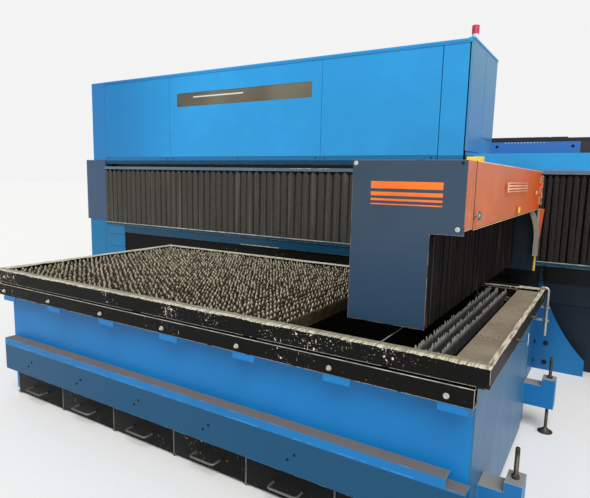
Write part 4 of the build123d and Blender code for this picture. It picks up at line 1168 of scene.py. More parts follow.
@dataclass
class Studio:
    """Pale floor, pale surroundings and soft light."""

    floor_size: float = 160.0
    floor_colour: Colour = (0.86, 0.855, 0.84)
    floor_roughness: float = 0.8
    sky: float = 0.52
    seen_sky: float = 0.9
    sun_width: float = 34.0
    key_power: float = 2.15
    key_from: Point = (2.6, -4.6, 6.4)
    fill_power: float = 0.65
    fill_from: Point = (5.0, -4.0, 2.6)

    def build(self) -> None:
        """Make the floor, the world and the lamps."""
        bpy.context.scene.view_settings.view_transform = "Standard"
        self.build_floor()
        self.build_world()
        self.build_sun("key_sun", self.key_from, self.key_power)
        self.build_sun("fill_sun", self.fill_from, self.fill_power)

    def build_sun(self, name: str, toward: Point, power: float) -> None:
        """Make a wide soft sun.

        Args:
            name: The sun's name.
            toward: The direction that it shines from.
            power: Its strength.
        """
        data = bpy.data.lights.new(name, "SUN")
        data.energy = power
        data.angle = math.radians(self.sun_width)
        sun = show(name, data)
        sun.rotation_mode = "QUATERNION"
        sun.rotation_quaternion = (-Vector(toward)).to_track_quat("-Z", "Y")

    def build_floor(self) -> None:
        """Make the floor as part of the stage."""
        half = self.floor_size / 2
        data = bpy.data.meshes.new("studio_floor")
        data.from_pydata([(-half, -half, 0), (half, -half, 0), (half, half, 0), (-half, half, 0)], [], [(0, 1, 2, 3)])
        bench = MaterialBench("studio_floor")
        tone = bench.remap(bench.noise(22.0, 4.0), 0.3, 0.7)
        colour = bench.vary(tone, self.floor_colour, 0.99, 1.0)
        bench.shade({"Base Color": colour, "Roughness": self.floor_roughness})
        data.materials.append(bench.material)
        floor = show("studio_floor", data)

    def build_world(self) -> None:
        """Make the surroundings: plain light, and a pale tone where the camera sees them."""
        world = bpy.data.worlds.new("studio_world")
        world.use_nodes = True
        bpy.context.scene.world = world
        bench = NodeBench(world.node_tree)
        ground = world.node_tree.nodes["Background"]
        rays = bench.add("ShaderNodeLightPath").outputs
        seen = bench.calc("MAXIMUM", rays["Is Camera Ray"], rays["Is Transmission Ray"])
        strength = bench.calc("MULTIPLY_ADD", seen, self.seen_sky - self.sky, self.sky)
        bench.feed(ground.inputs["Color"], (1.0, 1.0, 1.0))
        bench.feed(ground.inputs["Strength"], strength)


@dataclass
class Assembly:
    """A sub-assembly that takes its finishes from one book."""

    book: FinishBook

    def hang(
        self, stock: Stock, name: str, finish: str, slot: Slot, *nodes: str, body: str = "root", smooth: bool = True
    ) -> None:
        """Make a piece of a stock and hang it on its body.

        Args:
            stock: The piece's mesh.
            name: Its name.
            finish: Its finish.
            slot: Its material slot.
            *nodes: Nodes that it replaces.
            body: The body that it rides on.
            smooth: Whether shallow edges are shaded smooth.
        """
        settle(stock.piece(name, self.book.material(finish), smooth), body, slot, *nodes)

    def hang_blocks(
        self, boxes: Iterable[Box], bevel: float, name: str, finish: str, slot: Slot, body: str = "root"
    ) -> None:
        """Make one piece of several blocks.

        Args:
            boxes: Lowest and highest corner of each.
            bevel: Width of their rounding.
            name: The piece's name.
            finish: Its finish.
            slot: Its material slot.
            body: The body that it rides on.
        """
        stock = Stock()
        for low, high in boxes:
            stock.block(low, high, bevel)
        self.hang(stock, name, finish, slot, body=body)

    def hang_studs(
        self, profile: Profile, spots: Iterable[Point], along: Point, sides: int, name: str, finish: str, slot: Slot,
        *nodes: str, body: str = "root"
    ) -> None:
        """Make one piece of the same turned form at several places.

        Args:
            profile: Pairs of radius and height.
            spots: Where each stands.
            along: The way they point.
            sides: Segments round each.
            name: The piece's name.
            finish: Its finish.
            slot: Its material slot.
            *nodes: Nodes that it replaces.
            body: The body that it rides on.
        """
        stock = Stock()
        for spot in spots:
            stock.turned(profile, spot, along, sides)
        self.hang(stock, name, finish, slot, *nodes, body=body)


@dataclass
class SlatTable(Assembly):
    """Table frame, its spiked slats and the fittings on its sides."""

    tooth_pitch: float = 0.0374
    tooth_height: float = 0.034
    sheet: float = 0.003
    slat_pitch: float = 0.050
    dense_slats: int = 46
    loose_slots: tuple[int, ...] = (58, 59, 60)
    loose_gap: float = 0.105
    end_foot: float = 0.8625
    end_length: float = 0.07
    notch: float = 0.012
    burn: float = 0.014
    lean: float = 0.002
    bend: float = 0.005
    skew: float = 0.2
    crust: float = 0.0034
    root_crust: float = 0.0012
    seed: int = 7
    bolt_count: int = 7
    washer: float = 0.003
    bolt_share: float = 0.72
    bolt_height: float = 0.010
    plug_profile: Profile = ((0.006, 0.0), (0.006, 0.002), (0.003, 0.003))
    plug_shift: Span = (0.07, -0.004)
    hook_radius: float = 0.010
    hook_out: float = 0.020
    hook_back: float = 0.042
    hook_bend: float = 0.018
    collar_levels: Span = (0.732, 0.816)
    collar_half: float = 0.008
    collar_profile: Profile = ((0.016, 0.0), (0.018, 0.002), (0.018, 0.014), (0.016, 0.016))
    wire_x: float = 1.7275
    wire_z: float = 0.9155
    wire_radius: float = 0.0022
    wire_inset: float = 0.058
    bar_span: Span = (1.805, 2.036)
    bar_inset: Span = (0.052, 0.004)
    bar_height: float = 0.007
    bar_bolts: Span = (1.869, 1.932)
    rivet_profile: Profile = ((0.004, 0.0), (0.004, 0.0008), (0.002, 0.0012))
    rivets: tuple[Span, ...] = ((-0.03, 0.33), (-0.012, 0.35), (-0.045, 0.36), (0.018, 0.32), (0.03, 0.37), (0.0, 0.9))

    def build(self) -> None:
        """Make the slats, bolts, pins, the clamp hook and the small marks."""
        self.build_slats()
        self.build_bolts()
        self.build_pins()
        self.build_hook()
        self.build_wire()
        self.build_plate_marks()

    def build_slats(self) -> None:
        """Cut every slat with its worn teeth."""
        low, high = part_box("spiked_slats")
        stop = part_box("table_frame")[1].y - self.loose_gap
        rng = random.Random(self.seed)
        dense, loose = Stock(), Stock()
        first = low.x + self.sheet / 2
        for slot in range(self.dense_slats):
            self.cut_slat(dense, first + self.slat_pitch * slot, low.y, high.y, low.z, high.z, rng)
        self.hang(dense, "slat_field", Slot.SLAG_STEEL, Slot.SLAG_STEEL, "spiked_slats", smooth=False)
        # The loose slats down in the well take a darker copy of the slat steel as painted shade.
        for slot in self.loose_slots:
            self.cut_slat(loose, first + self.slat_pitch * slot, low.y, stop, low.z, high.z, rng)
        self.hang(loose, "loose_slats", "well_shade_steel", Slot.SLAG_STEEL, smooth=False)

    def cut_slat(
        self, stock: Stock, x: float, front: float, rear: float, low: float, top: float, rng: random.Random
    ) -> None:
        """Cut one slat.

        Args:
            stock: The mesh that takes it.
            x: Its middle plane.
            front: Its front end.
            rear: Its rear end.
            low: Its lowest edge.
            top: The level of unworn tips.
            rng: Random draws.
        """
        teeth = round((rear - front) / self.tooth_pitch)
        pitch = (rear - front) / teeth
        root = top - self.tooth_height
        half = self.sheet / 2
        lean = rng.uniform(-self.lean, self.lean)
        columns: list[tuple[float, float, float, float]] = []
        for tooth in range(teeth):
            start = front + pitch * tooth
            tip = top - rng.random() ** 2 * self.burn
            bend = lean + rng.uniform(-self.bend, self.bend)
            skewed = start + rng.uniform(-self.skew, self.skew) * pitch
            crust = half + rng.random() ** 2 * self.crust
            columns += [
                (start, root + rng.uniform(-0.002, 0.003), 0.0, half + rng.random() * self.root_crust),
                (skewed + pitch * 0.27, root + self.tooth_height * 0.5, bend * 0.4, crust),
                (skewed + pitch * 0.46, tip, bend, half * 0.9 + crust * 0.3),
                (skewed + pitch * 0.56, tip - rng.random() * 0.003, bend, half * 0.9),
                (skewed + pitch * 0.76, root + self.tooth_height * 0.45, bend * 0.4, crust),
            ]
        columns.append((rear, root, 0.0, half))
        corners: list[Point] = []
        for y, z, shift, thick in columns:
            foot = self.end_foot if min(y - front, rear - y) < self.end_length else low
            for level, offset, depth in ((z, shift, thick), (root - self.notch, 0.0, half), (foot, 0.0, half)):
                corners += [(x + offset - depth, y, level), (x + offset + depth, y, level)]
        faces: list[tuple[int, ...]] = []
        last = (len(columns) - 1) * 6
        for a in range(0, last, 6):
            b = a + 6
            faces += [(a, a + 1, b + 1, b), (a + 4, b + 4, b + 5, a + 5)]
            for row in (0, 2):
                faces.append((a + row, b + row, b + row + 2, a + row + 2))
                faces.append((a + row + 1, a + row + 3, b + row + 3, b + row + 1))
        for end in (0, last):
            faces += [(end, end + 2, end + 3, end + 1), (end + 2, end + 4, end + 5, end + 3)]
        stock.absorb(corners, faces)

    def build_bolts(self) -> None:
        """Make the rail's washers and hexagon heads, with the small plug beside each."""
        low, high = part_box("rail_bolts")
        radius = (high.z - low.z) / 2
        pitch = (high.x - low.x - 2 * radius) / (self.bolt_count - 1)
        heads, plugs = Stock(), Stock()
        for index in range(self.bolt_count):
            x, y, z = high.x - radius - pitch * index, high.y, (low.z + high.z) / 2
            heads.turned([(radius, 0.0), (radius, 0.002), (radius * 0.9, self.washer)], (x, y, z), FRONT, 28)
            heads.hexagon((x, y - self.washer, z), FRONT, radius * self.bolt_share, self.bolt_height)
            plugs.turned(self.plug_profile, (x + self.plug_shift[0], y, z + self.plug_shift[1]), FRONT, 14)
        self.hang(heads, "rail_bolt_heads", Slot.PALE_ZINC, Slot.PALE_ZINC, "rail_bolts")
        self.hang(plugs, "rail_plugs", "dark_screw", Slot.MATT_BLACK)

    def build_pins(self) -> None:
        """Make the two locating pins on the right side."""
        low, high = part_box("locating_pins")
        radius, length = (high.z - low.z) / 2, high.x - low.x
        profile = [(radius, 0.0), (radius, length - 0.003), (radius * 0.7, length)]
        spots = [(low.x, y, low.z + radius) for y in (low.y + radius, high.y - radius)]
        self.hang_studs(profile, spots, RIGHT, 20, "side_pins", "dark_thread", Slot.CHROME_ROD, "locating_pins")

    def build_hook(self) -> None:
        """Bend the clamp hook and make its collars."""
        low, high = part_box("clamp_hook")
        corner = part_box("table_frame")[1]
        tub_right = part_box("base_tub")[1].x - FLANGE
        x, y, top = corner.x + self.hook_out, corner.y - self.hook_back, high.z - self.hook_radius
        stock = Stock()
        line = [(x, y, low.z), (x, y, top), (corner.x - self.hook_out, y, top)]
        stock.rod(line, self.hook_radius, self.hook_bend, 16)
        for level in self.collar_levels:
            foot, head = level - self.collar_half, level + self.collar_half
            stock.turned(self.collar_profile, (x, y, foot), UP, 24)
            stock.block((tub_right - 0.006, y - 0.002, foot), (x - 0.014, y + 0.002, head))
        self.hang(stock, "corner_hook", Slot.CHROME_ROD, Slot.CHROME_ROD, "clamp_hook")

    def build_wire(self) -> None:
        """Stretch the well's thin wire, draw the rail's rubbed edge and bolt the dark bar to the rear rim."""
        frame_low, frame_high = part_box("table_frame")
        wire = Stock()
        ends = (frame_low.y + self.wire_inset, frame_high.y - self.wire_inset)
        wire.rod([(self.wire_x, y, self.wire_z) for y in ends], self.wire_radius, 0.01, 8)
        self.hang(wire, "well_wire", Slot.PALE_ZINC, Slot.PALE_ZINC)
        rail_low, rail_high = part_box("support_rail")
        edge = (rail_low.x, rail_high.x, rail_high.z - 0.0035, rail_high.z)
        strips = front_strips(rail_low.y, 0.0006, 0.001, edge)
        self.hang_blocks(strips, 0.0003, "rail_line", "worn_and_glint_line", Slot.PALE_ZINC)
        bar = Stock()
        left, right = self.bar_span
        front, rear = (frame_high.y - inset for inset in self.bar_inset)
        top = frame_high.z + self.bar_height
        bar.block((left, front, frame_high.z - 0.001), (right, rear, top))
        for x in self.bar_bolts:
            bar.hexagon((x, (front + rear) / 2, top), UP, 0.009, 0.006)
        self.hang(bar, "rear_bar", "dark_screw", Slot.WORN_BLACK)

    def build_plate_marks(self) -> None:
        """Put the two rivets and the small drilled dots on the dust plate."""
        low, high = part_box("dust_plate")
        middle = (low.x + high.x) / 2
        spots = [(middle + x, low.y + y, high.z - 0.0004) for x, y in self.rivets]
        self.hang_studs(self.rivet_profile, spots, UP, 12, "plate_marks", "dark_screw", Slot.MATT_BLACK)


@dataclass
class TableBase(Assembly):
    """Tub, skirt, drawers and levelling jacks under the table."""

    drawer_count: int = 6
    drawer_wall: float = 0.004
    handle_rod: float = 0.006
    handle_half: float = 0.0825
    handle_reach: float = 0.060
    handle_level: float = 0.084
    handle_bend: float = 0.020
    sheet_rounding: float = 0.0015
    apron_sheet: float = 0.003
    apron_sides: Span = (0.049, -0.055)
    apron_reach: Span = (-0.012, -0.0185)
    apron_rise: Span = (0.006, 0.140)
    jack_inset: float = 0.045
    foot_profile: Profile = ((0.043, 0.0), (0.045, 0.002), (0.045, 0.007), (0.022, 0.020), (0.012, 0.032))
    thread_radii: Span = (0.0088, 0.0100)
    thread_pitch: float = 0.0035
    thread_end: float = 0.012
    nut_radius: float = 0.0165
    nut_height: float = 0.018
    screw_profile: Profile = ((0.007, 0.0), (0.007, 0.002), (0.004, 0.004))
    screw_first: float = 1.355
    screw_pitch: float = 0.525
    screw_pairs: int = 5
    screw_pair: tuple[Span, Span] = ((0.0, 0.312), (-0.038, 0.279))

    def build(self) -> None:
        """Make the drawers, apron, jacks and screws."""
        for number in range(1, self.drawer_count + 1):
            self.build_drawer(number)
        self.build_apron()
        self.build_jacks()
        self.build_skirt_screws()

    def build_drawer(self, number: int) -> None:
        """Make an open tray with its bent handle.

        Args:
            number: The drawer's number, from 1.
        """
        node = f"scrap_drawer_{number}"
        low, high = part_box(node)
        face, wall, level = low.y + self.handle_reach + self.handle_rod, self.drawer_wall, self.handle_level
        rounding = self.sheet_rounding
        tray, grip = Stock(), Stock()
        tray.block((low.x, face, low.z), (high.x, high.y, low.z + wall), 0.001)
        tray.block((low.x, face, low.z), (high.x, face + wall, high.z), rounding)
        tray.block((low.x, high.y - wall, low.z), (high.x, high.y, high.z), rounding)
        tray.block((low.x, face, low.z), (low.x + wall, high.y, high.z), rounding)
        tray.block((high.x - wall, face, low.z), (high.x, high.y, high.z), rounding)
        body = f"drawer_{number}"
        self.hang(tray, f"drawer_tray_{number}", Slot.MATT_BLACK, Slot.MATT_BLACK, node, body=body)
        middle = (low.x + high.x) / 2
        left, right, out = middle - self.handle_half, middle + self.handle_half, face - self.handle_reach
        line = [(left, face, level), (left, out, level), (right, out, level), (right, face, level)]
        grip.rod(line, self.handle_rod, self.handle_bend)
        self.hang(grip, f"drawer_handle_{number}", Slot.GREY_STEEL, Slot.GREY_STEEL, body=body)

    def build_apron(self) -> None:
        """Make the sloping sheet that guides scrap from the tub's rear wall into the drawers."""
        low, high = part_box("base_tub")
        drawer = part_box("scrap_drawer_1")[1]
        left, right = low.x + self.apron_sides[0], high.x + self.apron_sides[1]
        front, rear = drawer.y + self.apron_reach[0], high.y + self.apron_reach[1]
        lip, crest = (drawer.z + rise for rise in self.apron_rise)
        thick = self.apron_sheet
        profile = ((front, lip), (rear, crest), (rear, crest + thick), (front, lip + thick))
        stock = Stock()
        stock.absorb(
            [(x, y, z) for x in (left, right) for y, z in profile],
            [(0, 1, 2, 3), (7, 6, 5, 4), (0, 4, 5, 1), (1, 5, 6, 2), (2, 6, 7, 3), (3, 7, 4, 0)],
        )
        self.hang(stock, "scrap_apron", Slot.MATT_BLACK, Slot.MATT_BLACK, smooth=False)

    def build_jacks(self) -> None:
        """Make the four threaded studs with their feet and nuts."""
        low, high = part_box("jack_screws")
        bracket_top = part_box("jack_brackets")[1].z
        inner, outer = self.thread_radii
        profile = list(self.foot_profile)
        level = profile[-1][1]
        while level < high.z - self.thread_end:
            profile += [(inner, level), (outer, level + self.thread_pitch / 2)]
            level += self.thread_pitch
        profile += [(0.0092, high.z - 0.004), (0.007, high.z)]
        stock = Stock()
        for x in (low.x + self.jack_inset, high.x - self.jack_inset):
            for y in (low.y + self.jack_inset, high.y - self.jack_inset):
                stock.turned(profile, (x, y, 0.0), UP, 18)
                stock.hexagon((x, y, bracket_top), UP, self.nut_radius, self.nut_height)
        self.hang(stock, "levelling_studs", "dark_thread", Slot.GREY_STEEL, "jack_screws")

    def build_skirt_screws(self) -> None:
        """Put the diagonal pairs of screws on the skirt."""
        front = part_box("front_skirt")[0].y
        spots = [
            (self.screw_first - self.screw_pitch * index + shift, front, level)
            for index in range(self.screw_pairs)
            for shift, level in self.screw_pair
        ]
        self.hang_studs(self.screw_profile, spots, FRONT, 16, "skirt_screws", "dark_screw", Slot.MATT_BLACK)


@dataclass
class Bellows(Assembly):
    """Pleated covers along the portal and under the arm."""

    joints: list[dict]
    skin: float = 0.003
    rows: int = 10
    peak: float = 0.042
    lip_cover: float = 0.022
    tilt: float = 0.0018
    ridge_half: Span = (0.34, 0.42)
    shoulder: float = 0.12
    shoulder_dip: float = 0.75
    tunnel_depth: float = 0.035
    tunnel_wander: float = 0.003
    seed: int = 11

    def build(self) -> None:
        """Make the four bellows; the rear cover under the arm rides on the arm."""
        rng = random.Random(self.seed)
        self.build_along_portal("x_bellows_left", "pleats_left", 54, Slot.BELLOWS_CLOTH, 0.004, rng)
        self.build_along_portal("x_bellows_right", "pleats_right", 30, "shaded_cloth", 0.006, rng)
        self.build_under_arm("y_bellows_front", "pleats_front", 7, rng)
        self.build_under_arm("y_bellows_rear", "pleats_rear", 46, rng)

    def build_along_portal(
        self, node: str, name: str, folds: int, finish: str, wander: float, rng: random.Random
    ) -> None:
        """Make one of the covers that hide the portal's guides.

        Args:
            node: The node that it replaces.
            name: The piece's name.
            folds: Number of pleats.
            finish: The finish's name.
            wander: How far ridges stray sideways.
            rng: Random draws.
        """
        low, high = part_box(node)
        stock = Stock()
        crest = high.z - self.lip_cover
        stock.absorb(*self.pleats((low.x, high.x), folds, (low.y, high.y), (low.z, crest), self.peak, wander, rng))
        made = stock.piece(name, self.book.material(finish))
        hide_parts(node)
        if node.endswith("left"):
            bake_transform(made)
        else:
            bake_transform(made)

    def build_under_arm(self, node: str, name: str, folds: int, rng: random.Random) -> None:
        """Make the two skins of one cover under the arm, with level upper edges.

        Args:
            node: The node that they replace.
            name: The piece's name.
            folds: Number of pleats.
            rng: Random draws.
        """
        low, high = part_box(node)
        stock = Stock()
        for depths in ((high.x, high.x - self.tunnel_depth), (low.x, low.x + self.tunnel_depth)):
            levels = (low.z, high.z)
            corners, faces = self.pleats((low.y, high.y), folds, depths, levels, 0.0, self.tunnel_wander, rng)
            stock.absorb([(v, u, z) for u, v, z in corners], faces)
        made = stock.piece(name, self.book.material("tunnel_cloth"))
        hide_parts(node)
        if node.endswith("front"):
            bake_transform(made)
        else:
            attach(made, "arm")
            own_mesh(made)

    def pleats(
        self, ends: Span, folds: int, depths: Span, levels: Span, peak: float, wander: float, rng: random.Random
    ) -> tuple[list[Point], list[tuple[int, ...]]]:
        """Shape one pleated skin.

        Args:
            ends: Where the first and the last ridge stand.
            folds: Number of pleats.
            depths: Depth of the ridges and of the valleys' backs.
            levels: Lower and upper edge.
            peak: How far the valleys' upper edge lies below the ridges'.
            wander: How far ridges stray along the skin.
            rng: Random draws.

        Returns:
            Corners as along, across, up, and the faces.
        """
        (start, end), (near, far), (low, high) = ends, depths, levels
        way = 1.0 if far > near else -1.0
        valley = far - way * self.skin
        slope = (valley - near) * self.shoulder
        step = (end - start) / folds
        stations: list[tuple[float, float, float, float, float]] = []
        for fold in range(folds + 1):
            ridge = start + step * fold
            loose = 0.0 if fold in (0, folds) else wander
            top, foot = rng.uniform(-loose, loose), rng.uniform(-loose, loose)
            crest = near + (way * abs(rng.gauss(0.0, self.tilt)) if loose else 0.0)
            half = step * rng.uniform(*self.ridge_half)
            if fold > 0:
                stations.append((ridge - half, crest + slope, top, foot, self.shoulder_dip))
            stations.append((ridge, crest, top, foot, 0.0))
            if fold < folds:
                stations.append((ridge + half, crest + slope, top, foot, self.shoulder_dip))
                stations.append((ridge + step / 2, valley, 0.0, 0.0, 1.0))
        corners: list[Point] = []
        for along, across, top, foot, dip in stations:
            for share in (row / self.rows for row in range(self.rows + 1)):
                u = min(max(along + foot + (top - foot) * share, start), end)
                z = low + (high - peak * dip - low) * share
                corners += [(u, across, z), (u, across + way * self.skin, z)]
        edge = self.rows * 2
        stride = edge + 2
        last = (len(stations) - 1) * stride
        faces: list[tuple[int, ...]] = []
        for foot_a in range(0, last, stride):
            foot_b = foot_a + stride
            for a, b in zip(range(foot_a, foot_a + edge, 2), range(foot_b, foot_b + edge, 2)):
                faces += [(a, b, b + 2, a + 2), (a + 1, a + 3, b + 3, b + 1)]
            a, b = foot_a + edge, foot_b + edge
            faces += [(foot_a, foot_a + 1, foot_b + 1, foot_b), (a, b, b + 1, a + 1)]
        for foot_a in (0, last):
            faces += [(a, a + 2, a + 3, a + 1) for a in range(foot_a, foot_a + edge, 2)]
        return corners, faces


@dataclass
class Portal(Assembly):
    """Column seams, bolts and the cable trough along the portal."""

    seam_rise: float = 0.0006
    seams: tuple[Span, ...] = ((0.83, 0.32), (0.675, 0.29))
    seam_half: float = 0.0025
    upright_seam: Patch = (-3.122, -3.118, 0.02, 1.0)
    leg_front: float = 1.110
    washer_profile: Profile = ((0.020, 0.0), (0.020, 0.003), (0.018, 0.004))
    bolt_radius: float = 0.016
    bolt_height: float = 0.012
    bolt_columns: Span = (2.027, 2.124)
    bolt_rows: Span = (0.069, 0.238)
    hole_profile: Profile = ((0.014, 0.0), (0.014, 0.0015), (0.011, 0.002))
    holes: Span = (1.492, 2.142)
    hole_level: float = 1.934
    slot_first: float = 1.56
    slot_pitch: float = 0.028
    slot_count: int = 13
    slot_levels: Span = (-0.010, -0.004)
    yellow_patch: Patch = (1.443, 1.583, 1.748, 1.799)
    pale_patch: Patch = (-0.220, -0.192, 0.570, 0.650)
    line_rise: float = 0.0008
    rail_end: float = 3.39
    beam_line: Span = (-0.90, -0.397)
    rail_glints: tuple[Span, Span] = ((-0.287, -0.033), (0.046, 0.166))

    def build(self) -> None:
        """Make the marks and fittings of the portal."""
        self.build_left_column_seams()
        self.build_gusset_bolts()
        self.build_trough_marks()
        self.build_patches()
        self.build_worn_and_glint_lines()

    def build_left_column_seams(self) -> None:
        """Draw the joints between the left column's sheets."""
        low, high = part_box("left_leg")
        lines = [(high.x - reach, high.x, z - self.seam_half, z + self.seam_half) for z, reach in self.seams]
        strips = front_strips(low.y, self.seam_rise, 0.002, *lines, self.upright_seam)
        self.hang_blocks(strips, 0.0004, "column_seams", "dark_seam_and_shade", Slot.MATT_BLACK)

    def build_gusset_bolts(self) -> None:
        """Put the black bolts on the right leg and a dark plate of painted shade in the gap beside the cabinet."""
        stock = Stock()
        for x in self.bolt_columns:
            for z in self.bolt_rows:
                stock.turned(self.washer_profile, (x, self.leg_front, z), FRONT, 20)
                seat = self.leg_front - self.washer_profile[-1][1]
                stock.hexagon((x, seat, z), FRONT, self.bolt_radius, self.bolt_height)
        self.hang(stock, "gusset_bolts", "dark_screw", Slot.MATT_BLACK)
        # Painted shade: a dark plate fills the gap between the right leg and the cabinet.
        gap_shade = ((2.034, 1.262, 0.02), (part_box("right_cabinet")[0].x + 0.02, 1.268, 0.93))
        self.hang_blocks([gap_shade], 0.001, "cabinet_gap_shade", "dark_seam_and_shade", Slot.MATT_BLACK)

    def build_trough_marks(self) -> None:
        """Put the holes and the row of small slots on the cable trough."""
        low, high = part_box("chain_trough")
        spots = [(x, low.y, self.hole_level) for x in self.holes]
        self.hang_studs(self.hole_profile, spots, FRONT, 20, "trough_holes", "dark_screw", Slot.MATT_BLACK)
        starts = [self.slot_first + self.slot_pitch * index for index in range(self.slot_count)]
        levels = [high.z + shift for shift in self.slot_levels]
        slots = [(x, x + self.slot_pitch / 2, *levels) for x in starts]
        strips = front_strips(low.y, self.line_rise, 0.001, *slots)
        self.hang_blocks(strips, 0.0004, "trough_slots", "white_strip", Slot.PALE_ZINC)

    def build_patches(self) -> None:
        """Put the blank yellow plate on the beam's end cover and the pale strip on the tub's right side."""
        yellow = front_strips(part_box("beam_end_cover")[0].y, 0.0015, 0.0005, self.yellow_patch)
        self.hang_blocks(yellow, 0.001, "blank_plate", "yellow_plate", Slot.PALE_ZINC)
        pale = side_strips(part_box("base_tub")[1].x - FLANGE, 0.001, 0.001, self.pale_patch)
        self.hang_blocks(pale, 0.0006, "side_strip", "white_strip", Slot.PALE_ZINC)

    def build_worn_and_glint_lines(self) -> None:
        """Put the rubbed bright lines on the rails' and the lower beam's edges, and painted glints of light along the
        upper rail's top edge.
        """
        rail_low, rail_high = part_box("bellows_rails")
        cloth_low, cloth_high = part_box("x_bellows_left")
        beam_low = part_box("lower_beam")[0]
        foot = cloth_low.z
        under = [
            (cloth_low.x, cloth_high.x, foot - 0.009, foot),
            (cloth_high.x + 0.5, self.rail_end, foot - 0.006, foot),
        ]
        # Painted glints: short white lines where light shows along the top edge of the upper rail.
        above = [(*ends, rail_high.z - 0.006, rail_high.z) for ends in self.rail_glints]
        strips = front_strips(rail_low.y, self.line_rise, self.line_rise, *under)
        strips += front_strips(beam_low.y, self.line_rise, 0.001, (*self.beam_line, beam_low.z, beam_low.z + 0.007))
        strips += front_strips(rail_low.y, self.line_rise, 0.001, *above)
        self.hang_blocks(strips, 0.0004, "worn_and_glint_lines", "worn_and_glint_line", Slot.PALE_ZINC)


@dataclass
class Housing(Assembly):
    """Seams, screws and the beacon of the upper housing."""

    panels: tuple[str, ...] = ("front_panel_left", "front_panel_middle", "front_panel_right")
    long_panel: float = 1.5
    screw_inset: float = 0.05
    screw_rise: float = 0.022
    screw_profile: Profile = ((0.007, 0.0), (0.007, 0.002), (0.0042, 0.004))
    fold_rise: Span = (0.040, 0.0425)
    trim: tuple[float, float, float] = (1.41, 2.722, 2.7245)
    access_seams: tuple[Patch, Patch] = ((1.248, 1.251, 1.99, 2.70), (1.248, 1.72, 1.989, 1.992))
    dot_profile: Profile = ((0.007, 0.0), (0.007, 0.002), (0.004, 0.003))
    dots: tuple[Span, Span] = ((1.30, 2.66), (1.25, 2.035))
    ribs: int = 7
    ribbed_height: float = 0.062
    groove: float = 0.94

    def build(self) -> None:
        """Make the housing's small parts."""
        self.build_screws()
        self.build_seams()
        self.build_beacon()

    def build_screws(self) -> None:
        """Put the dark screws along the panels' lower edges."""
        spots = []
        for node in self.panels:
            low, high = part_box(node)
            places = [low.x + self.screw_inset, high.x - self.screw_inset]
            if high.x - low.x > self.long_panel:
                places.append((low.x + high.x) / 2)
            spots += [(x, low.y, low.z + self.screw_rise) for x in places]
        self.hang_studs(self.screw_profile, spots, FRONT, 16, "panel_screws", "dark_screw", Slot.MATT_BLACK)

    def build_seams(self) -> None:
        """Draw the fold line along the panels, the roof trim and the access door on the right side."""
        front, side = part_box("front_panel_left")[0].y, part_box("side_panel")[1].x
        folds = []
        for node in self.panels:
            low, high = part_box(node)
            folds.append((low.x + 0.004, high.x - 0.004, *(low.z + rise for rise in self.fold_rise)))
        trim_end, *trim_levels = self.trim
        strips = front_strips(front, 0.0005, 0.001, *folds)
        strips += front_strips(front, 0.0066, -0.005, (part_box("housing_shell")[0].x, trim_end, *trim_levels))
        strips += side_strips(side, 0.0006, 0.001, *self.access_seams)
        self.hang_blocks(strips, 0.0003, "housing_seams", "dark_seam_and_shade", Slot.MATT_BLACK)
        spots = [(side, y, z) for y, z in self.dots]
        self.hang_studs(self.dot_profile, spots, RIGHT, 16, "side_screws", Slot.PALE_ZINC, Slot.PALE_ZINC)

    def build_beacon(self) -> None:
        """Turn the beacon's base, ribbed lens and cap."""
        low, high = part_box("beacon_base")
        x, y, radius = (low.x + high.x) / 2, (low.y + high.y) / 2, (high.x - low.x) / 2
        waist = radius * 0.93
        profile = [(radius, 0.0), (radius, 0.006), (waist, 0.008), (waist, 0.048), (radius, 0.055)]
        spots = [(x, y, low.z)]
        self.hang_studs(profile, spots, UP, 36, "beacon_socket", "white_strip", Slot.PALE_ZINC, "beacon_base")
        low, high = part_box("beacon_lens")
        outer, rib, reach = (high.x - low.x) / 2, self.ribbed_height / self.ribs, self.ribbed_height
        groove = outer * self.groove
        shape = [(groove, 0.0)]
        for foot in (rib * index for index in range(self.ribs)):
            shape += [(outer, foot + rib * 0.3), (outer, foot + rib * 0.6), (groove, foot + rib)]
        shape += [(outer, reach + 0.001), (outer, reach + 0.005), (outer * 0.8, high.z - low.z)]
        spots = [(x, y, low.z)]
        self.hang_studs(shape, spots, UP, 36, "beacon_dome", Slot.RED_LENS, Slot.RED_LENS, "beacon_lens")


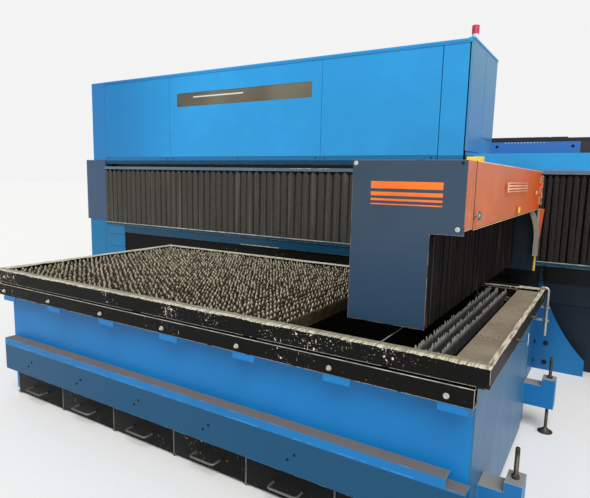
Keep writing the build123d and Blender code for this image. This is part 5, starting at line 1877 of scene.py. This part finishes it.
@dataclass
class Arm(Assembly):
    """Plate screws, door fittings, head and nozzle on the sliding arm."""

    screw_profile: Profile = ((0.010, 0.0), (0.010, 0.002), (0.006, 0.004))
    screws: tuple[Span, Span] = ((1.548, 1.668), (1.996, 1.408))
    hole_profile: Profile = ((0.006, 0.0), (0.006, 0.001), (0.005, 0.0015))
    hole: Span = (2.001, 1.669)
    decal: Span = (1.622, 1.930)
    decal_bars: tuple[Span, ...] = ((1.562, 1.592), (1.532, 1.548), (1.511, 1.520), (1.494, 1.499))
    latch: Span = (-1.480, 1.457)
    latch_profile: Profile = ((0.019, 0.0), (0.019, 0.003), (0.016, 0.005), (0.012, 0.005), (0.011, 0.010))
    latch_shaft: Profile = ((0.006, 0.0), (0.006, 0.018))
    button: Patch = (0.323, 0.383, 1.5165, 1.5405)
    label: Patch = (-0.420, -0.352, 1.419, 1.453)
    stripe: Span = (-0.80, -0.11)
    stripes: tuple[Span, ...] = ((1.545, 1.549), (1.558, 1.566), (1.574, 1.582), (1.592, 1.596))
    stripe_end: Patch = (-0.826, -0.80, 1.545, 1.596)
    head_radius: float = 0.048
    tip_profile: Profile = (
        (0.003, 0.0), (0.004, 0.001), (0.006, 0.006), (0.022, 0.044), (0.024, 0.048), (0.0235, 0.052),
        (0.024, 0.056), (0.024, 0.060),
    )
    clips: tuple[Span, Span] = ((1.70, -1.45), (1.80, -1.44))

    def build(self) -> None:
        """Make the arm's small parts and its head."""
        self.build_plate_marks()
        self.build_latch()
        self.build_door_marks()
        self.build_head()
        self.build_top_clips()

    def build_plate_marks(self) -> None:
        """Put the screws, the small hole and a plain striped decal on the front plate."""
        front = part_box("arm_front_plate")[0].y
        spots = [(x, front, z) for x, z in self.screws]
        zinc = Slot.PALE_ZINC
        self.hang_studs(self.screw_profile, spots, FRONT, 20, "plate_screws", zinc, zinc, body="arm")
        spots = [(self.hole[0], front, self.hole[1])]
        self.hang_studs(self.hole_profile, spots, FRONT, 16, "plate_hole", "dark_screw", Slot.MATT_BLACK, body="arm")
        strips = front_strips(front, 0.0007, 0.0005, *((*self.decal, *bar) for bar in self.decal_bars))
        self.hang_blocks(strips, 0.0003, "stripe_decal", "decal_orange", Slot.ORANGE_PAINT, body="arm")

    def build_latch(self) -> None:
        """Make the door's quarter-turn latch."""
        low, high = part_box("door_latch")
        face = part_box("arm_cover")[1].x
        y, z = self.latch
        latch = Stock()
        latch.turned(self.latch_profile, (face, y, z), RIGHT, 24)
        latch.block((face + 0.008, y - 0.005, z - 0.019), (face + 0.014, y + 0.005, z + 0.019), 0.002)
        latch.turned(self.latch_shaft, (face - 0.018, y, z), RIGHT, 16)
        latch.block((low.x, y - 0.008, z - 0.008), (low.x + 0.003, y + 0.008, high.z), 0.0008)
        self.hang(latch, "quarter_turn", Slot.CHROME_ROD, Slot.CHROME_ROD, "door_latch", body="latch")

    def build_door_marks(self) -> None:
        """Put the seam in front of the door, and the marks and the pale edges, rubbed and with painted highlight, on
        the door.
        """
        low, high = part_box("arm_door")
        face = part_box("arm_cover")[1].x
        bars = [*((*self.stripe, *levels) for levels in self.stripes), self.stripe_end]
        start, end = low.y + 0.002, high.y - 0.03
        edges = [(start, end, high.z - 0.004, high.z - 0.0005), (start, end, low.z + 0.0005, low.z + 0.003)]
        for name, finish, slot, body, patches, rise, sink, bevel in (
            ("door_seam", "dark_seam_and_shade", Slot.MATT_BLACK, "arm", [(low.y - 0.004, low.y, low.z, high.z)], 0.0004, 0.0015,
             0.0003),
            ("door_button", "white_strip", Slot.PALE_ZINC, "door", [self.button], 0.0012, 0.0005, 0.0004),
            ("door_label", "yellow_plate", Slot.PALE_ZINC, "door", [self.label], 0.0012, 0.0005, 0.0004),
            ("door_stripes", "pale_peach", Slot.ORANGE_PAINT, "door", bars, 0.0007, 0.0005, 0.0003),
            # Pale top and bottom edges of the door: part wear, part painted highlight.
            ("door_worn_and_highlight_edges", "pale_peach", Slot.ORANGE_PAINT, "door", edges, 0.0006, 0.0005, 0.0003),
        ):
            self.hang_blocks(side_strips(face, rise, sink, *patches), bevel, name, finish, slot, body)

    def build_head(self) -> None:
        """Turn the cutting head and its nozzle."""
        low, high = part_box("cutting_head")
        tip_low, tip_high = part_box("nozzle")
        x, y, length = (tip_low.x + tip_high.x) / 2, (tip_low.y + tip_high.y) / 2, high.z - low.z
        radius = min((high.x - low.x) / 2, self.head_radius)
        profile = [
            (0.024, 0.0), (0.026, 0.006), (0.047, 0.068), (radius, 0.072), (radius, 0.10), (0.044, 0.102),
            (0.044, 0.108), (radius, 0.110), (radius, length * 0.62), (0.045, length * 0.63), (0.045, length * 0.66),
            (radius, length * 0.67), (radius, length - 0.004), (0.044, length),
        ]
        head = Stock()
        head.turned(profile, (x, y, low.z), UP, 40)
        head.block((x - 0.045, y, low.z + 0.07), (x + 0.045, high.y, high.z), 0.002)
        self.hang(head, "head_body", Slot.GROUND_STEEL, Slot.GROUND_STEEL, "cutting_head", body="head")
        tip = Stock()
        tip.turned(self.tip_profile, (x, y, tip_low.z), UP, 36)
        self.hang(tip, "nozzle_tip", Slot.COPPER_TIP, Slot.COPPER_TIP, "nozzle", body="head")

    def build_top_clips(self) -> None:
        """Put the two low cable clips on the arm's top."""
        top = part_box("arm_cover")[1].z
        boxes = [((x - 0.018, y - 0.01, top - 0.0005), (x + 0.018, y + 0.01, top + 0.006)) for x, y in self.clips]
        self.hang_blocks(boxes, 0.002, "top_clips", "dark_screw", Slot.MATT_BLACK, body="arm")


NODE_FINISHES: dict[str, str] = {
    "table_frame": "frame_paint",
    "arm_front_plate": "arm_plate",
    "arm_door": "door_orange",
    "root_cover": "root_dark",
    "hose_guard": "guard_grey",
    "left_leg": "column_shade_blue",
    "right_leg": "leg_blue",
    "bellows_rails": "rail_slate",
    "chain_trough": "trough_blue",
    "jack_brackets": "bracket_blue",
    # Painted shade: the head carriage takes dark steel so that it sinks into the shade under the arm.
    "head_carriage": "dark_screw",
}


def dress_nodes(frame: dict, book: FinishBook) -> None:
    """Give every node that stays visible its finish.

    Args:
        book: The finishes.
    """
    slots = {row["node"]: row["material_slot"] for row in frame["record"]["subparts"]}
    for name, node in frame["nodes"].items():
        material = book.material(NODE_FINISHES.get(name, slots[name]))
        if node.data.materials:
            for index in range(len(node.data.materials)):
                node.data.materials[index] = material
        else:
            node.data.materials.append(material)
    LOG.info("dressed %d nodes", len(frame["nodes"]))


def main() -> None:
    """Load the frame, build every sub-assembly and report it."""
    logging.basicConfig(level=logging.INFO, format="%(name)s: %(message)s")
    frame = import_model()
    PhotoCamera().build()
    Studio().build()
    book = FinishBook()
    dress_nodes(frame, book)
    bellows = Bellows(book, frame["joints"])
    for assembly in (SlatTable(book), TableBase(book), bellows, Portal(book), Housing(book), Arm(book)):
        assembly.build()
        LOG.info("%s is ready", type(assembly).__name__)


if __name__ == "__main__":
    main()
